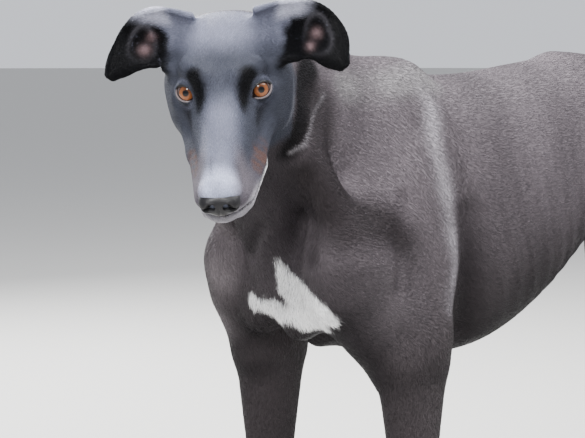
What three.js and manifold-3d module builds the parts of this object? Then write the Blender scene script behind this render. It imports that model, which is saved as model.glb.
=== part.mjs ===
// A greyhound at life size, standing with its head turned to its left and lowered, as a still model.
// Millimetres, +Z up. The dog faces -Y and its left side is +X.
// Each body part is one closed mesh, and touching parts keep a small gap.
//
// The flesh is described once, as a distance that is negative inside.
// Bones and muscles are round limbs, eggs and long hulls, melted into each other.
// Trunk, neck and thighs are one net of points settled on that surface, parted by thin planes.
// Head, lower legs, toes and tail are lofts: rays leave the middle of every section and stop at the surface.
import * as THREE from "three";
import { mergeVertices } from "three/addons/utils/BufferGeometryUtils.js";
import Module from "manifold-3d";

const wasm = await Module();
wasm.setup();

// Driving dimensions, in the dog's own frame: floor at z = 0, middle plane at x = 0, withers near y = 0.
const GAP = 0.3; // clearance between touching parts
const CENTRE = [38, 190, 0]; // the point under the middle of the whole box, which becomes the origin
const ELBOW_CUT = 346; // height of the level cut between trunk and forelegs
const THIGH_CUT = { y: 375, z: 478, rise: 0.32 }; // slanted cut between trunk and thighs, rising with y
const NECK_CUT = { y: -98, z: 617, tilt: 36.5 }; // slanted cut between trunk and neck
const EYE_RADIUS = 11.5;
const HEAD = { at: [113, -273, 678], yaw: 50, pitch: 34, roll: -3.5, size: 1.06 };
const NET_SHIFT = 8; // how far a point of the net may move to reach the surface

// Where each leg's joints are, from the body down.
const FORELEGS = {
  left: {
    shoulder: [84, -92, 488],
    elbow: [86, 16, 388],
    wrist: [79, 10, 168],
    knuckle: [79, -6, 48],
  },
  right: {
    shoulder: [-80, -104, 476],
    elbow: [-83, -50, 392],
    wrist: [-78, -71, 168],
    knuckle: [-78, -89, 48],
  },
};
const HINDLEGS = {
  left: { hip: [54, 462, 585], knee: [82, 430, 396], hock: [77, 614, 186], knuckle: [76, 602, 46] },
  right: { hip: [-54, 482, 585], knee: [-76, 500, 390], hock: [-74, 676, 192], knuckle: [-73, 660, 46] },
};

// The trunk's profile: y, top, bottom, half width.
const TRUNK = [
  [-100, 600, 440, 46],
  [-60, 655, 404, 68],
  [10, 694, 376, 80],
  [90, 686, 362, 92],
  [160, 687, 370, 97],
  [240, 697, 408, 90],
  [320, 706, 466, 72],
  [380, 702, 515, 62],
  [440, 686, 535, 62],
  [500, 652, 552, 52],
  [540, 622, 566, 34],
];

// The head's profile in its own frame: the origin lies midway between the eyes and the nose points along -y.
const SKULL = [
  [-126, -26, -50, 15],
  [-112, -19, -60, 20],
  [-85, -11, -66, 22],
  [-55, -3, -69, 25],
  [-28, 7, -71, 31],
  [0, 18, -72, 40],
  [30, 23, -68, 46],
  [60, 22, -58, 46],
  [88, 16, -42, 35],
];

const TAIL = [
  [0, 524, 622, 22],
  [0, 566, 604, 17],
  [0, 590, 562, 14],
  [0, 606, 490, 11.5],
  [0, 620, 400, 9],
  [0, 642, 312, 6.8],
  [0, 684, 244, 5],
  [0, 738, 214, 3.4],
];
const TAIL_ROOT = 2; // the row where the tail leaves the rump

// Plain vector sums.
const add = (a, b) => a.map((v, i) => v + b[i]);
const sub = (a, b) => a.map((v, i) => v - b[i]);
const scaled = (a, s) => a.map((v) => v * s);
const dot = (a, b) => a[0] * b[0] + a[1] * b[1] + a[2] * b[2];
const cross = (a, b) => [
  a[1] * b[2] - a[2] * b[1],
  a[2] * b[0] - a[0] * b[2],
  a[0] * b[1] - a[1] * b[0],
];
const unit = (a) => scaled(a, 1 / Math.hypot(...a));
const mix = (a, b, t) => a.map((v, i) => v + (b[i] - v) * t);
const clamp = (v, low, high) => Math.min(Math.max(v, low), high);
const radians = (degrees) => (degrees * Math.PI) / 180;

// A smooth value along a table of rows [key, value, value...], by cubic pieces that pass through every row.
function along(rows, key) {
  const last = rows.length - 1;
  const x = clamp(key, rows[0][0], rows[last][0]);
  let i = 0;
  while (i < last - 1 && x > rows[i + 1][0]) i += 1;
  const slope = (j, c) => {
    const before = rows[Math.max(j - 1, 0)];
    const after = rows[Math.min(j + 1, last)];
    return (after[c] - before[c]) / (after[0] - before[0]);
  };
  const [p, q] = [rows[i], rows[i + 1]];
  const span = q[0] - p[0];
  const t = (x - p[0]) / span;
  return p.slice(1).map((_, n) => {
    const c = n + 1;
    const [m0, m1] = [slope(i, c) * span, slope(i + 1, c) * span];
    const [a, b] = [p[c], q[c]];
    const ease = 3 * t ** 2 - 2 * t ** 3;
    return (1 - ease) * a + ease * b + (t ** 3 - 2 * t ** 2 + t) * m0 + (t ** 3 - t ** 2) * m1;
  });
}

// Distance to a tapering round limb from a to b, thinner by the share `flat` along the direction `side`.
function limb(a, ra, b, rb, flat = 1, side = [1, 0, 0]) {
  const ab = sub(b, a);
  const length2 = dot(ab, ab);
  return (p) => {
    const ap = sub(p, a);
    const t = clamp(dot(ap, ab) / length2, 0, 1);
    const v = sub(ap, scaled(ab, t));
    const r = ra + (rb - ra) * t;
    if (flat === 1) return Math.hypot(...v) - r;
    const across = dot(v, side);
    const once = add(v, scaled(side, across * (1 / flat - 1)));
    const twice = add(v, scaled(side, across * (1 / flat ** 2 - 1)));
    const k = Math.hypot(...once);
    return ((k - r) * k) / Math.max(Math.hypot(...twice), 1e-6);
  };
}

// Distance to an egg with three radii, tipped by `tilt` degrees about its x axis.
function egg(c, radii, tilt = 0) {
  const [cs, sn] = [Math.cos(radians(tilt)), Math.sin(radians(tilt))];
  return (p) => {
    const [x, y, z] = sub(p, c);
    const q = [x, cs * y + sn * z, cs * z - sn * y];
    const k0 = Math.hypot(q[0] / radii[0], q[1] / radii[1], q[2] / radii[2]);
    const k1 = Math.hypot(q[0] / radii[0] ** 2, q[1] / radii[1] ** 2, q[2] / radii[2] ** 2);
    return (k0 * (k0 - 1)) / Math.max(k1, 1e-9);
  };
}

// Distance to a long hull along y, from rows of y, top, bottom and half width, rounded off past both ends.
function hull(rows, closing, power = 2.3) {
  const [first, last] = [rows[0][0], rows[rows.length - 1][0]];
  return (p) => {
    const [top, bottom, half] = along(rows, p[1]);
    const over = Math.max(first - p[1], p[1] - last, 0);
    const shrink = Math.sqrt(Math.max(1 - (over / closing) ** 2, 1e-4));
    const middle = (top + bottom) / 2;
    const u = Math.abs(p[0]) / (half * shrink);
    const v = Math.abs(p[2] - middle) / (((top - bottom) / 2) * shrink);
    const rho = Math.max((u ** power + v ** power) ** (1 / power), 1e-3);
    const reach = Math.hypot(p[0], p[2] - middle);
    const slack = Math.hypot(over * 0.5, reach * (1 - 1 / rho));
    return rho < 1 ? Math.max((rho - 1) * Math.min(half, (top - bottom) / 2) * shrink, -200) : slack;
  };
}

// Forms melted together in order: each is { d, k } with its blending width, and `cut` takes it away instead.
function melt(forms) {
  return (p) => {
    let d = 1e3;
    for (const form of forms) {
      const e = form.cut ? -form.d(p) : form.d(p);
      const h = Math.max(form.k - Math.abs(d - e), 0) / form.k;
      const ease = (h * h * form.k) / 4;
      d = form.cut ? Math.max(d, e) + ease : Math.min(d, e) - ease;
    }
    return d;
  };
}

const headTurn = new THREE.Matrix4().makeRotationFromEuler(
  new THREE.Euler(radians(HEAD.pitch), radians(HEAD.roll), radians(HEAD.yaw), "ZXY"),
);
const headMatrix = new THREE.Matrix4()
  .makeTranslation(...HEAD.at)
  .multiply(headTurn)
  .multiply(new THREE.Matrix4().makeScale(HEAD.size, HEAD.size, HEAD.size));
const headInverse = headMatrix.clone().invert();
const fromHead = (p) => new THREE.Vector3(...p).applyMatrix4(headMatrix).toArray();
const toHead = (p) => new THREE.Vector3(...p).applyMatrix4(headInverse).toArray();
const turnedByHead = (v) => new THREE.Vector3(...v).transformDirection(headTurn).toArray();

const both = (make, k, extra = {}) => [1, -1].map((s) => ({ d: make(s), k, ...extra }));

function headForms() {
  return [
    { d: hull(SKULL, 8, 2.4), k: 1 },
    ...both((s) => egg([s * 25, 66, 4], [27, 34, 21]), 14), // temple muscle
    ...both((s) => limb([s * 38, 12, -14], 9, [s * 46 + 2, 36, -14], 10), 12), // cheek bone
    ...both((s) => limb([s * 45 + 2, 34, -16], 10, [s * 43, 60, -12], 10), 12),
    ...both((s) => egg([s * 39, 30, -36], [17, 32, 30]), 16), // chewing muscle
    ...both((s) => limb([s * 17, -4, 14], 9, [s * 32, 12, 15], 9), 14), // brow
    ...both((s) => limb([s * 15, -108, -44], 9, [s * 24, -34, -51], 12), 10), // upper lip
    ...both((s) => limb([s * 37, 12, -40], 12, [s * 25, -36, -50], 11), 8), // corner of the mouth
    { d: limb([28, -48, -56], 9.5, [20, -98, -57], 8.5), k: 8 }, // the left lip hangs a little
    ...both((s) => limb([s * 13, -104, -62], 8, [s * 22, 20, -65], 11), 8), // lower jaw
    { d: egg([0, -112, -58], [15, 13, 9]), k: 8 }, // chin
    { d: limb([0, -118, -28], 13, [0, -30, -8], 15), k: 8 }, // bridge of the nose
    ...both((s) => egg([s * 9, -119, -29], [10, 10.5, 9]), 6), // end of the muzzle
    ...both((s) => egg([s * 44, -16, -8], [12, 16, 10]), 12, { cut: true }), // hollow before the eye
  ];
}

function neckForms() {
  const lateral = unit([0.88, 0.47, 0]);
  return [
    { d: limb([0, -40, 596], 92, fromHead([0, 48, -24]), 56, 0.72, lateral), k: 20 },
    { d: limb([0, 20, 668], 28, fromHead([0, 70, -4]), 25), k: 40 },
    { d: limb([0, -112, 520], 30, fromHead([0, 30, -52]), 26), k: 30 },
    ...both((s) => {
      const leg = s > 0 ? FORELEGS.left : FORELEGS.right;
      return limb(fromHead([s * 34, 52, -40]), 18, add(leg.shoulder, [0, 0, 26]), 26);
    }, 26),
    ...both((s) => limb(fromHead([s * 24, 36, -62]), 14, [s * 12, -130, 494], 15), 22),
  ];
}

function trunkForms() {
  return [
    { d: hull(TRUNK, 26), k: 1 },
    { d: egg([0, -86, 482], [54, 58, 76], -18), k: 24 },
    { d: limb([0, -128, 478], 14, [0, -60, 402], 14), k: 18 }, // keel of the breast
    { d: limb([0, -60, 402], 14, [0, 20, 386], 12), k: 18 },
    ...both((s) => egg([s * 34, -104, 452], [32, 34, 54], -16), 16),
    { d: limb([0, 300, 690], 16, [0, 500, 652], 14), k: 20 },
    ...both((s) => egg([s * 44, 478, 626], [34, 74, 40], -22), 24), // rump
    ...both((s) => egg([s * 30, 548, 594], [22, 26, 26]), 18), // seat bone
    ...both((s) => egg([s * 44, 386, 664], [16, 26, 18]), 20), // hip bone
  ];
}

function forelegForms(leg) {
  const { shoulder, elbow, wrist, knuckle } = leg;
  const s = Math.sign(shoulder[0]);
  return [
    { d: limb([s * 26, 36, 668], 26, shoulder, 42, 0.66), k: 30 }, // shoulder blade
    { d: limb([s * 44, 52, 610], 34, add(shoulder, [0, 48, 0]), 36, 0.7), k: 30 },
    { d: egg(shoulder, [32, 36, 38]), k: 24 },
    { d: limb(shoulder, 40, add(elbow, [0, -10, 0]), 32, 0.82), k: 24 }, // upper arm
    { d: limb([s * 66, 34, 560], 46, add(elbow, [0, 10, 26]), 30, 0.66), k: 30 }, // triceps
    { d: limb(add(shoulder, [-4 * s, -4, -40]), 34, add(elbow, [-8 * s, -42, -16]), 25), k: 22 }, // biceps
    { d: egg(elbow, [25, 32, 28]), k: 18 },
    { d: limb(add(elbow, [0, 18, 22]), 12, add(elbow, [0, 10, -8]), 14), k: 16 },
    { d: limb(add(elbow, [0, -22, -18]), 38, wrist, 15, 0.8), k: 20 }, // forearm
    { d: limb(add(elbow, [0, 8, -28]), 22, add(wrist, [0, 8, 24]), 10, 0.95), k: 18 },
    { d: egg(wrist, [20, 17.5, 24]), k: 14 },
    { d: egg(add(wrist, [0, 17, -10]), [9, 8, 10]), k: 8 },
    { d: limb(wrist, 16, knuckle, 15, 0.9, [0, 1, 0]), k: 14 },
    { d: egg(knuckle, [24, 16, 16]), k: 12 },
  ];
}

function hindlegForms(leg) {
  const { hip, knee, hock, knuckle } = leg;
  const s = Math.sign(hip[0]);
  return [
    { d: limb(hip, 62, knee, 40, 0.58), k: 30 }, // thigh
    { d: limb([s * 48, hip[1] - 44, 612], 32, add(knee, [0, -6, 16]), 30, 0.62), k: 24 },
    { d: limb([s * 40, 540, 590], 38, add(knee, [0, 52, -36]), 26, 0.66), k: 26 },
    { d: egg(add(knee, [0, -8, -2]), [23, 27, 34]), k: 18 },
    { d: limb(add(knee, [0, 12, -26]), 30, hock, 15, 0.78), k: 18 }, // shank
    { d: limb(add(knee, [0, 50, -30]), 27, add(hock, [0, 8, 84]), 10, 0.72), k: 18 },
    { d: limb(add(hock, [0, 8, 90]), 9.5, add(hock, [0, 19, 18]), 9.5), k: 14 },
    { d: limb(add(hock, [0, -56, 128]), 28, add(hock, [0, -2, 22]), 18, 0.28), k: 14 }, // web of skin
    { d: egg(hock, [16, 19, 24]), k: 12 },
    { d: egg(add(hock, [0, 19, 12]), [10, 10, 13]), k: 10 },
    { d: limb(hock, 15.5, knuckle, 15, 0.9), k: 14 },
    { d: egg(knuckle, [23, 16, 16]), k: 12 },
  ];
}

const headLocal = melt(headForms());
const headField = (p) => headLocal(toHead(p)) * HEAD.size;
const head = { d: headField, k: 24 };
const trunk = trunkForms();
const fore = { left: forelegForms(FORELEGS.left), right: forelegForms(FORELEGS.right) };
const hind = { left: hindlegForms(HINDLEGS.left), right: hindlegForms(HINDLEGS.right) };
const tailJoints = TAIL.slice(1).map((end, i) => (
  limb(TAIL[i].slice(0, 3), TAIL[i][3], end.slice(0, 3), end[3])));
const tailForms = [{ d: (p) => Math.min(...tailJoints.map((joint) => joint(p))), k: 12 }];
const upper = [...trunk, ...neckForms(), ...fore.left, ...fore.right, head];
const flesh = {
  head: melt([{ d: headField, k: 1 }, ...neckForms().map((f) => ({ ...f, k: 24 }))]),
  body: melt([...upper, ...hind.left, ...hind.right, ...tailForms]),
};
const thighPlane = (y) => THIGH_CUT.z + (y - THIGH_CUT.y) * THIGH_CUT.rise;

// How far a ray from `from` towards `to` runs before it comes out of the field.
function exit(field, from, way) {
  const at = (r) => field(add(from, scaled(way, r)));
  let near = 0;
  let r = 0.4;
  while (at(r) < 0 && r < 500) {
    near = r;
    r += Math.max(-at(r) * 0.6, 0.6);
  }
  let far = r;
  for (let i = 0; i < 26; i += 1) {
    const middle = (near + far) / 2;
    if (at(middle) < 0) near = middle;
    else far = middle;
  }
  return (near + far) / 2;
}

// Sections between key sections: each key is { at, facing, rings }, with `rings` steps to the next key.
function sections(keys) {
  const made = [];
  keys.forEach((key, i) => {
    const next = keys[i + 1];
    const steps = next ? key.rings : 1;
    for (let n = 0; n < steps; n += 1) {
      const t = n / steps;
      made.push(next
        ? { at: mix(key.at, next.at, t), facing: unit(mix(key.facing, next.facing, t)) }
        : { at: key.at, facing: key.facing });
    }
  });
  return made;
}

// A closed solid lofted through the sections, out to the field's surface along `spokes` rays in each.
// `squeeze` under 1 gathers the rays towards `up` and its opposite, and `calm` evens each ray with its
// neighbours. Nothing passes where `clip` is above zero.
function loft(field, rings, spokes, options = {}) {
  const { up = [0, 0, 1], squeeze = 1, calm = 0, clip = null, grow = 0 } = options;
  const last = rings.length - 1;
  const rays = rings.map(({ at, facing }, i) => {
    const f = unit(facing);
    const u = unit(sub(up, scaled(f, dot(up, f))));
    const v = cross(f, u);
    const inset = i === 0 ? GAP / 2 : i === last ? -GAP / 2 : 0;
    const centre = add(at, scaled(f, inset));
    const ways = [];
    for (let j = 0; j < spokes; j += 1) {
      const angle = (2 * Math.PI * j) / spokes;
      ways.push(unit(add(scaled(u, Math.cos(angle)), scaled(v, Math.sin(angle) * squeeze))));
    }
    return { centre, ways, reach: ways.map((way) => exit(field, centre, way)) };
  });
  for (let pass = 0; pass < calm; pass += 1) {
    const before = rays.map((ray) => [...ray.reach]);
    for (let i = 1; i < last; i += 1) {
      rays[i].reach = before[i].map((r, j) => {
        const [back, on] = [before[i][(j + spokes - 1) % spokes], before[i][(j + 1) % spokes]];
        return r / 2 + (back + on + before[i - 1][j] + before[i + 1][j]) / 8;
      });
    }
  }
  const points = [];
  rays.forEach(({ centre, ways, reach }) => ways.forEach((way, j) => {
    const far = clip ? Math.min(reach[j], exit(clip, centre, way)) : reach[j];
    points.push(add(centre, scaled(way, far + grow)));
  }));
  const front = points.push(rays[0].centre) - 1;
  const back = points.push(rays[last].centre) - 1;
  const index = [];
  for (let j = 0; j < spokes; j += 1) {
    const k = (j + 1) % spokes;
    index.push(front, k, j, back, last * spokes + j, last * spokes + k);
    for (let i = 0; i < last; i += 1) {
      const [a, b, c, d] = [i * spokes + j, i * spokes + k, (i + 1) * spokes + j, (i + 1) * spokes + k];
      index.push(a, b, c, b, d, c);
    }
  }
  return solid(points, index);
}

// A closed solid over a grid of cells: one point in each cell that the surface passes through, moved onto
// the surface, and a face across each grid edge that the surface cuts.
function net(field, grid) {
  const count = grid.map((lines) => lines.length);
  const place = (cell) => cell.map((v, c) => grid[c][v]);
  const id = ([i, j, k]) => (k * count[1] + j) * count[0] + i;
  const values = new Float64Array(count[0] * count[1] * count[2]);
  const cells = [];
  for (let k = 0; k < count[2]; k += 1) {
    for (let j = 0; j < count[1]; j += 1) {
      for (let i = 0; i < count[0]; i += 1) {
        cells.push([i, j, k]);
        const edge = [i, j, k].some((v, c) => v === 0 || v === count[c] - 1);
        values[id([i, j, k])] = edge ? Math.max(field(place([i, j, k])), 1) : field(place([i, j, k]));
      }
    }
  }
  const axes = [[1, 0, 0], [0, 1, 0], [0, 0, 1]];
  unpinch(values, cells, id, axes, count);
  const corners = [0, 1, 2, 3, 4, 5, 6, 7].map((n) => [n & 1, (n >> 1) & 1, n >> 2]);
  const points = [];
  const pointOf = new Map();
  for (const cell of cells) {
    if (cell.some((v, c) => v === count[c] - 1)) continue;
    const crossings = [];
    for (const corner of corners) {
      for (const axis of axes) {
        if (dot(corner, axis)) continue;
        const [a, b] = [add(cell, corner), add(add(cell, corner), axis)];
        const [fa, fb] = [values[id(a)], values[id(b)]];
        if (fa < 0 !== fb < 0) crossings.push(mix(place(a), place(b), fa / (fa - fb)));
      }
    }
    if (!crossings.length) continue;
    const middle = scaled(crossings.reduce(add), 1 / crossings.length);
    pointOf.set(id(cell), points.length);
    points.push(settled(field, middle, NET_SHIFT));
  }
  const index = [];
  for (const cell of cells) {
    axes.forEach((axis, c) => {
      const end = add(cell, axis);
      if (end[c] > count[c] - 1) return;
      const inside = values[id(cell)] < 0;
      if (inside === values[id(end)] < 0) return;
      const [u, v] = [axes[(c + 1) % 3], axes[(c + 2) % 3]];
      const ring = [sub(sub(cell, u), v), sub(cell, v), cell, sub(cell, u)].map((q) => pointOf.get(id(q)));
      const [p, q, r, t] = inside ? ring : [...ring].reverse();
      const short = Math.hypot(...sub(points[p], points[r])) < Math.hypot(...sub(points[q], points[t]));
      index.push(...(short ? [p, q, r, p, r, t] : [q, r, t, q, t, p]));
    });
  }
  return solid(points, index);
}

// Where two inside corners of a grid square meet only across it, the net would pinch.
// The corner nearest to the surface then changes sides.
function unpinch(values, cells, id, axes, count) {
  let pinched = true;
  while (pinched) {
    pinched = false;
    for (const cell of cells) {
      for (const [u, v] of [[axes[0], axes[1]], [axes[1], axes[2]], [axes[0], axes[2]]]) {
        const square = [cell, add(cell, u), add(add(cell, u), v), add(cell, v)];
        if (square[2].some((n, c) => n > count[c] - 1)) continue;
        const inside = square.map((q) => values[id(q)] < 0);
        if (inside[0] !== inside[2] || inside[1] !== inside[3] || inside[0] === inside[1]) continue;
        const nearest = square.map(id).sort((a, b) => Math.abs(values[a]) - Math.abs(values[b]))[0];
        values[nearest] = values[nearest] < 0 ? 0.5 : -0.5;
        pinched = true;
      }
    }
  }
}

// A point moved straight onto the surface, by no more than `most`.
function settled(field, from, most) {
  let p = from;
  for (let i = 0; i < 3; i += 1) {
    const slope = [0, 1, 2].map((c) => {
      const step = [0, 0, 0];
      step[c] = 0.5;
      return field(add(p, step)) - field(sub(p, step));
    });
    p = sub(p, scaled(slope, field(p) / Math.max(dot(slope, slope), 1e-6)));
  }
  const moved = sub(p, from);
  const far = Math.hypot(...moved);
  return far > most ? add(from, scaled(moved, most / far)) : p;
}

// Points and triangles as a solid, turned so that its faces point out.
function solid(points, index) {
  const geometry = new THREE.BufferGeometry();
  geometry.setAttribute("position", new THREE.Float32BufferAttribute(points.flat(), 3));
  geometry.setIndex(index);
  const merged = mergeVertices(geometry, 1e-3);
  const make = (order) => new wasm.Manifold(new wasm.Mesh({
    numProp: 3,
    vertProperties: merged.attributes.position.array,
    triVerts: new Uint32Array(order),
  }));
  const order = [...merged.index.array];
  const made = make(order);
  if (made.volume() > 0) return made;
  for (let i = 0; i < order.length; i += 3) [order[i], order[i + 1]] = [order[i + 1], order[i]];
  return make(order);
}

// A three.js geometry as a solid.
function solidOf(geometry) {
  const bare = geometry.clone();
  bare.deleteAttribute("normal");
  bare.deleteAttribute("uv");
  const merged = mergeVertices(bare, 1e-4);
  const spots = merged.attributes.position;
  const points = [];
  for (let i = 0; i < spots.count; i += 1) points.push([spots.getX(i), spots.getY(i), spots.getZ(i)]);
  return solid(points, [...merged.index.array]);
}

// A thin wide block that parts a solid along a plane.
function slab({ at, facing }, wide, deep = wide, thick = GAP) {
  const turn = new THREE.Quaternion().setFromUnitVectors(
    new THREE.Vector3(0, 0, 1),
    new THREE.Vector3(...unit(facing)),
  );
  return solidOf(new THREE.BoxGeometry(wide, deep, thick).applyQuaternion(turn).translate(...at));
}

// The piece of a parted solid whose middle lies nearest to a place.
function pieceNear(pieces, place) {
  const away = (piece) => {
    const box = piece.boundingBox();
    return Math.hypot(...sub(mix([...box.min], [...box.max], 0.5), place));
  };
  return [...pieces].sort((a, b) => away(a) - away(b))[0];
}

const largest = (made) => made.decompose().sort((a, b) => b.volume() - a.volume())[0];

// A round egg-shaped solid.
function ball(centre, radii, around = 16, down = 10) {
  return solidOf(new THREE.SphereGeometry(1, around, down).scale(...radii).translate(...centre));
}

const part = new THREE.Group();
const materials = {
  coat: new THREE.MeshStandardMaterial({ color: 0x2e2b2c, roughness: 0.55, metalness: 0 }),
  nose: new THREE.MeshStandardMaterial({ color: 0x16151a, roughness: 0.4, metalness: 0 }),
  eye: new THREE.MeshStandardMaterial({ color: 0x8a4a1c, roughness: 0.08, metalness: 0 }),
  claw: new THREE.MeshStandardMaterial({ color: 0x1d1a18, roughness: 0.45, metalness: 0 }),
};

function node(name, made, material) {
  const whole = largest(made);
  const mesh = whole.getMesh();
  const geometry = new THREE.BufferGeometry();
  const positions = new Float32Array(mesh.numVert * 3);
  for (let i = 0; i < mesh.numVert; i += 1) {
    positions.set(mesh.vertProperties.subarray(i * mesh.numProp, i * mesh.numProp + 3), i * 3);
  }
  geometry.setAttribute("position", new THREE.BufferAttribute(positions, 3));
  geometry.setIndex(new THREE.BufferAttribute(new Uint32Array(mesh.triVerts), 1));
  geometry.computeVertexNormals();
  const object = new THREE.Mesh(geometry, material);
  object.name = name;
  part.add(object);
}

// Trunk, neck and thighs: one net, parted by thin planes.
const tailCut = {
  at: TAIL[TAIL_ROOT].slice(0, 3),
  facing: unit(sub(TAIL[TAIL_ROOT + 1].slice(0, 3), TAIL[TAIL_ROOT - 1].slice(0, 3))),
};
const neckCut = {
  at: [0, NECK_CUT.y, NECK_CUT.z],
  facing: [0, Math.cos(radians(NECK_CUT.tilt)), -Math.sin(radians(NECK_CUT.tilt))],
};
const napeCut = { at: fromHead([0, 58, -26]), facing: turnedByHead(unit([0, -0.83, 0.56])) };
const elbowCut = { at: [0, -20, ELBOW_CUT], facing: [0, 0, 1] };
const thighCut = { at: [0, 490, thighPlane(490)], facing: unit([0, -THIGH_CUT.rise, 1]) };
const kneeCuts = ["left", "right"].map((side) => {
  const h = HINDLEGS[side];
  return { at: add(h.knee, [0, 26, -34]), facing: unit(sub(h.hock, h.knee)) };
});
const lines = (...stretches) => stretches.flatMap(([from, to, step]) => {
  const count = Math.round((to - from) / step);
  return Array.from({ length: count }, (_, i) => from + ((to - from) * i) / count);
});
const whole = net(flesh.body, [
  lines([-150, 151, 20]),
  lines([-330, 130, 22], [130, 370, 38], [370, 640, 23]),
  lines([300, 800, 20]),
]);
let parted = whole;
for (const cut of [
  slab(neckCut, 420),
  slab(napeCut, 240),
  slab(elbowCut, 420),
  slab(thighCut, 420, 270),
  slab(tailCut, 56),
  ...kneeCuts.map((cut) => slab(cut, 120, 200)),
]) parted = parted.subtract(cut);
const pieces = parted.decompose();
node("torso", pieceNear(pieces, [0, 200, 530]), materials.coat);
node("neck", pieceNear(pieces, [20, -130, 640]), materials.coat);
node("thigh_left", pieceNear(pieces, [80, 450, 440]), materials.coat);
node("thigh_right", pieceNear(pieces, [-80, 470, 440]), materials.coat);

// Head: from the slanted section at the nape to the front of the lips.
const headRing = (y, z, slant = 0) => ({
  at: fromHead([0, y, z]),
  facing: turnedByHead(unit([0, -Math.cos(radians(slant)), Math.sin(radians(slant))])),
});
const headRings = sections([
  { ...napeCut, rings: 6 },
  { ...headRing(24, -18, 6), rings: 7 },
  { ...headRing(-28, -32, 0), rings: 6 },
  { ...headRing(-112, -42, 0), rings: 4 },
  { ...headRing(-133, -40, 0) },
]);
const skullOf = (grow) => loft(flesh.head, headRings, 30, { calm: 1, grow });

// Moves a solid made in the head's frame to its place.
const placed = (made) => made.transform(headMatrix.elements);

// A closed sheet from a function of u and v, both from 0 to 1, that gives its two faces' points.
function shell(faces, across, down) {
  const points = [];
  const index = [];
  const row = across + 1;
  const half = row * (down + 1);
  for (const face of [0, 1]) {
    for (let j = 0; j <= down; j += 1) {
      for (let i = 0; i <= across; i += 1) points.push(faces(i / across, j / down)[face]);
    }
  }
  const at = (face, i, j) => face * half + j * row + i;
  const quad = (p, q, r, t) => index.push(p, q, r, p, r, t);
  for (let j = 0; j < down; j += 1) {
    for (let i = 0; i < across; i += 1) {
      const [p, q, r, t] = [at(0, i, j), at(0, i + 1, j), at(0, i + 1, j + 1), at(0, i, j + 1)];
      quad(p, q, r, t);
      index.push(p + half, r + half, q + half, p + half, t + half, r + half);
    }
    quad(at(0, 0, j), at(0, 0, j + 1), at(1, 0, j + 1), at(1, 0, j));
    quad(at(0, across, j + 1), at(0, across, j), at(1, across, j), at(1, across, j + 1));
  }
  for (let i = 0; i < across; i += 1) {
    quad(at(0, i + 1, 0), at(0, i, 0), at(1, i, 0), at(1, i + 1, 0));
    quad(at(0, i, down), at(0, i + 1, down), at(1, i + 1, down), at(1, i, down));
  }
  return solid(points, index);
}

// Mouth: a thin curved gap between the lips, from one corner round the front to the other.
const LIPS = [[29, -36, -51], [26, -62, -55], [20, -96, -55], [12, -117, -53], [0, -124, -53]];
const LIP_GAP = 1.6;
const otherLips = LIPS.slice(0, -1).reverse().map(([x, y, z]) => [-x, y, z]);
const lipLine = new THREE.CatmullRomCurve3([...LIPS, ...otherLips].map((p) => new THREE.Vector3(...p)));
const mouthGap = shell((u, v) => {
  const [x, y, z] = lipLine.getPoint(u).toArray();
  const wide = x * (0.78 + 0.52 * v);
  const on = -40 + (y + 40) * (0.93 + 0.13 * v);
  const low = z - 2 * v;
  return [[wide, on, low + LIP_GAP / 2], [wide, on, low - LIP_GAP / 2]];
}, 24, 1);

// Eyes: a ball in each socket, under lids that leave an almond of it open.
const EYE = { at: [33, 2.5, -5.5], look: unit([0.42, -0.84, 0.3]), radius: EYE_RADIUS / HEAD.size };
const LID = 2.4; // thickness
const OPENING = { radii: [9.8, 7, 14], ahead: 12 };
const eyeAt = (s) => [s * EYE.at[0], EYE.at[1], EYE.at[2]];
const lookOf = (s) => [s * EYE.look[0], EYE.look[1], EYE.look[2]];
function eyeBall(s, grow) {
  const r = EYE.radius + grow;
  return ball(eyeAt(s), [r, r, r], 12, 8);
}
function eyeOpening(s) {
  const g = new THREE.SphereGeometry(1, 12, 8).scale(...OPENING.radii);
  g.lookAt(new THREE.Vector3(...lookOf(s)));
  return solidOf(g.translate(...add(eyeAt(s), scaled(lookOf(s), OPENING.ahead))));
}

// Nose: a leathery pad over the front of the muzzle, with a nostril on each side.
const noseField = melt([
  { d: egg([0, -122, -34], [17.5, 13.5, 10]), k: 1 },
  ...both((s) => egg([s * 9.5, -127, -36], [9, 10, 8.5]), 4),
  { d: egg([0, -126, -41], [8, 9, 9]), k: 6 },
]);
const noseRings = [-115, -118, -122, -127, -132, -135].map((y) => ({ at: [0, y, -36], facing: [0, -1, 0] }));
const nosePad = (grow) => loft(noseField, noseRings, 16, { grow });
function nostril(s) {
  const hole = ball([s * 8.2, -136.5, -35], [4, 6, 3.4], 12, 8);
  return hole.add(ball([s * 13.5, -132, -38], [4.6, 5, 1.7], 10, 6));
}

let face = skullOf(0);
for (const s of [1, -1]) face = face.add(placed(eyeBall(s, LID)));
for (const s of [1, -1]) {
  face = face.subtract(placed(eyeBall(s, GAP)));
  face = face.subtract(placed(eyeOpening(s)));
}
const beyondNape = { at: add(napeCut.at, scaled(napeCut.facing, -100)), facing: napeCut.facing };
face = face.subtract(slab(beyondNape, 300, 300, 200 - GAP));
face = face.subtract(placed(mouthGap)).subtract(placed(nosePad(GAP)));
node("head", face, materials.coat);
node("nose", placed(nosePad(0).subtract(nostril(1)).subtract(nostril(-1))), materials.nose);
node("eye_left", placed(eyeBall(1, 0)), materials.eye);
node("eye_right", placed(eyeBall(-1, 0)), materials.eye);

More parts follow.
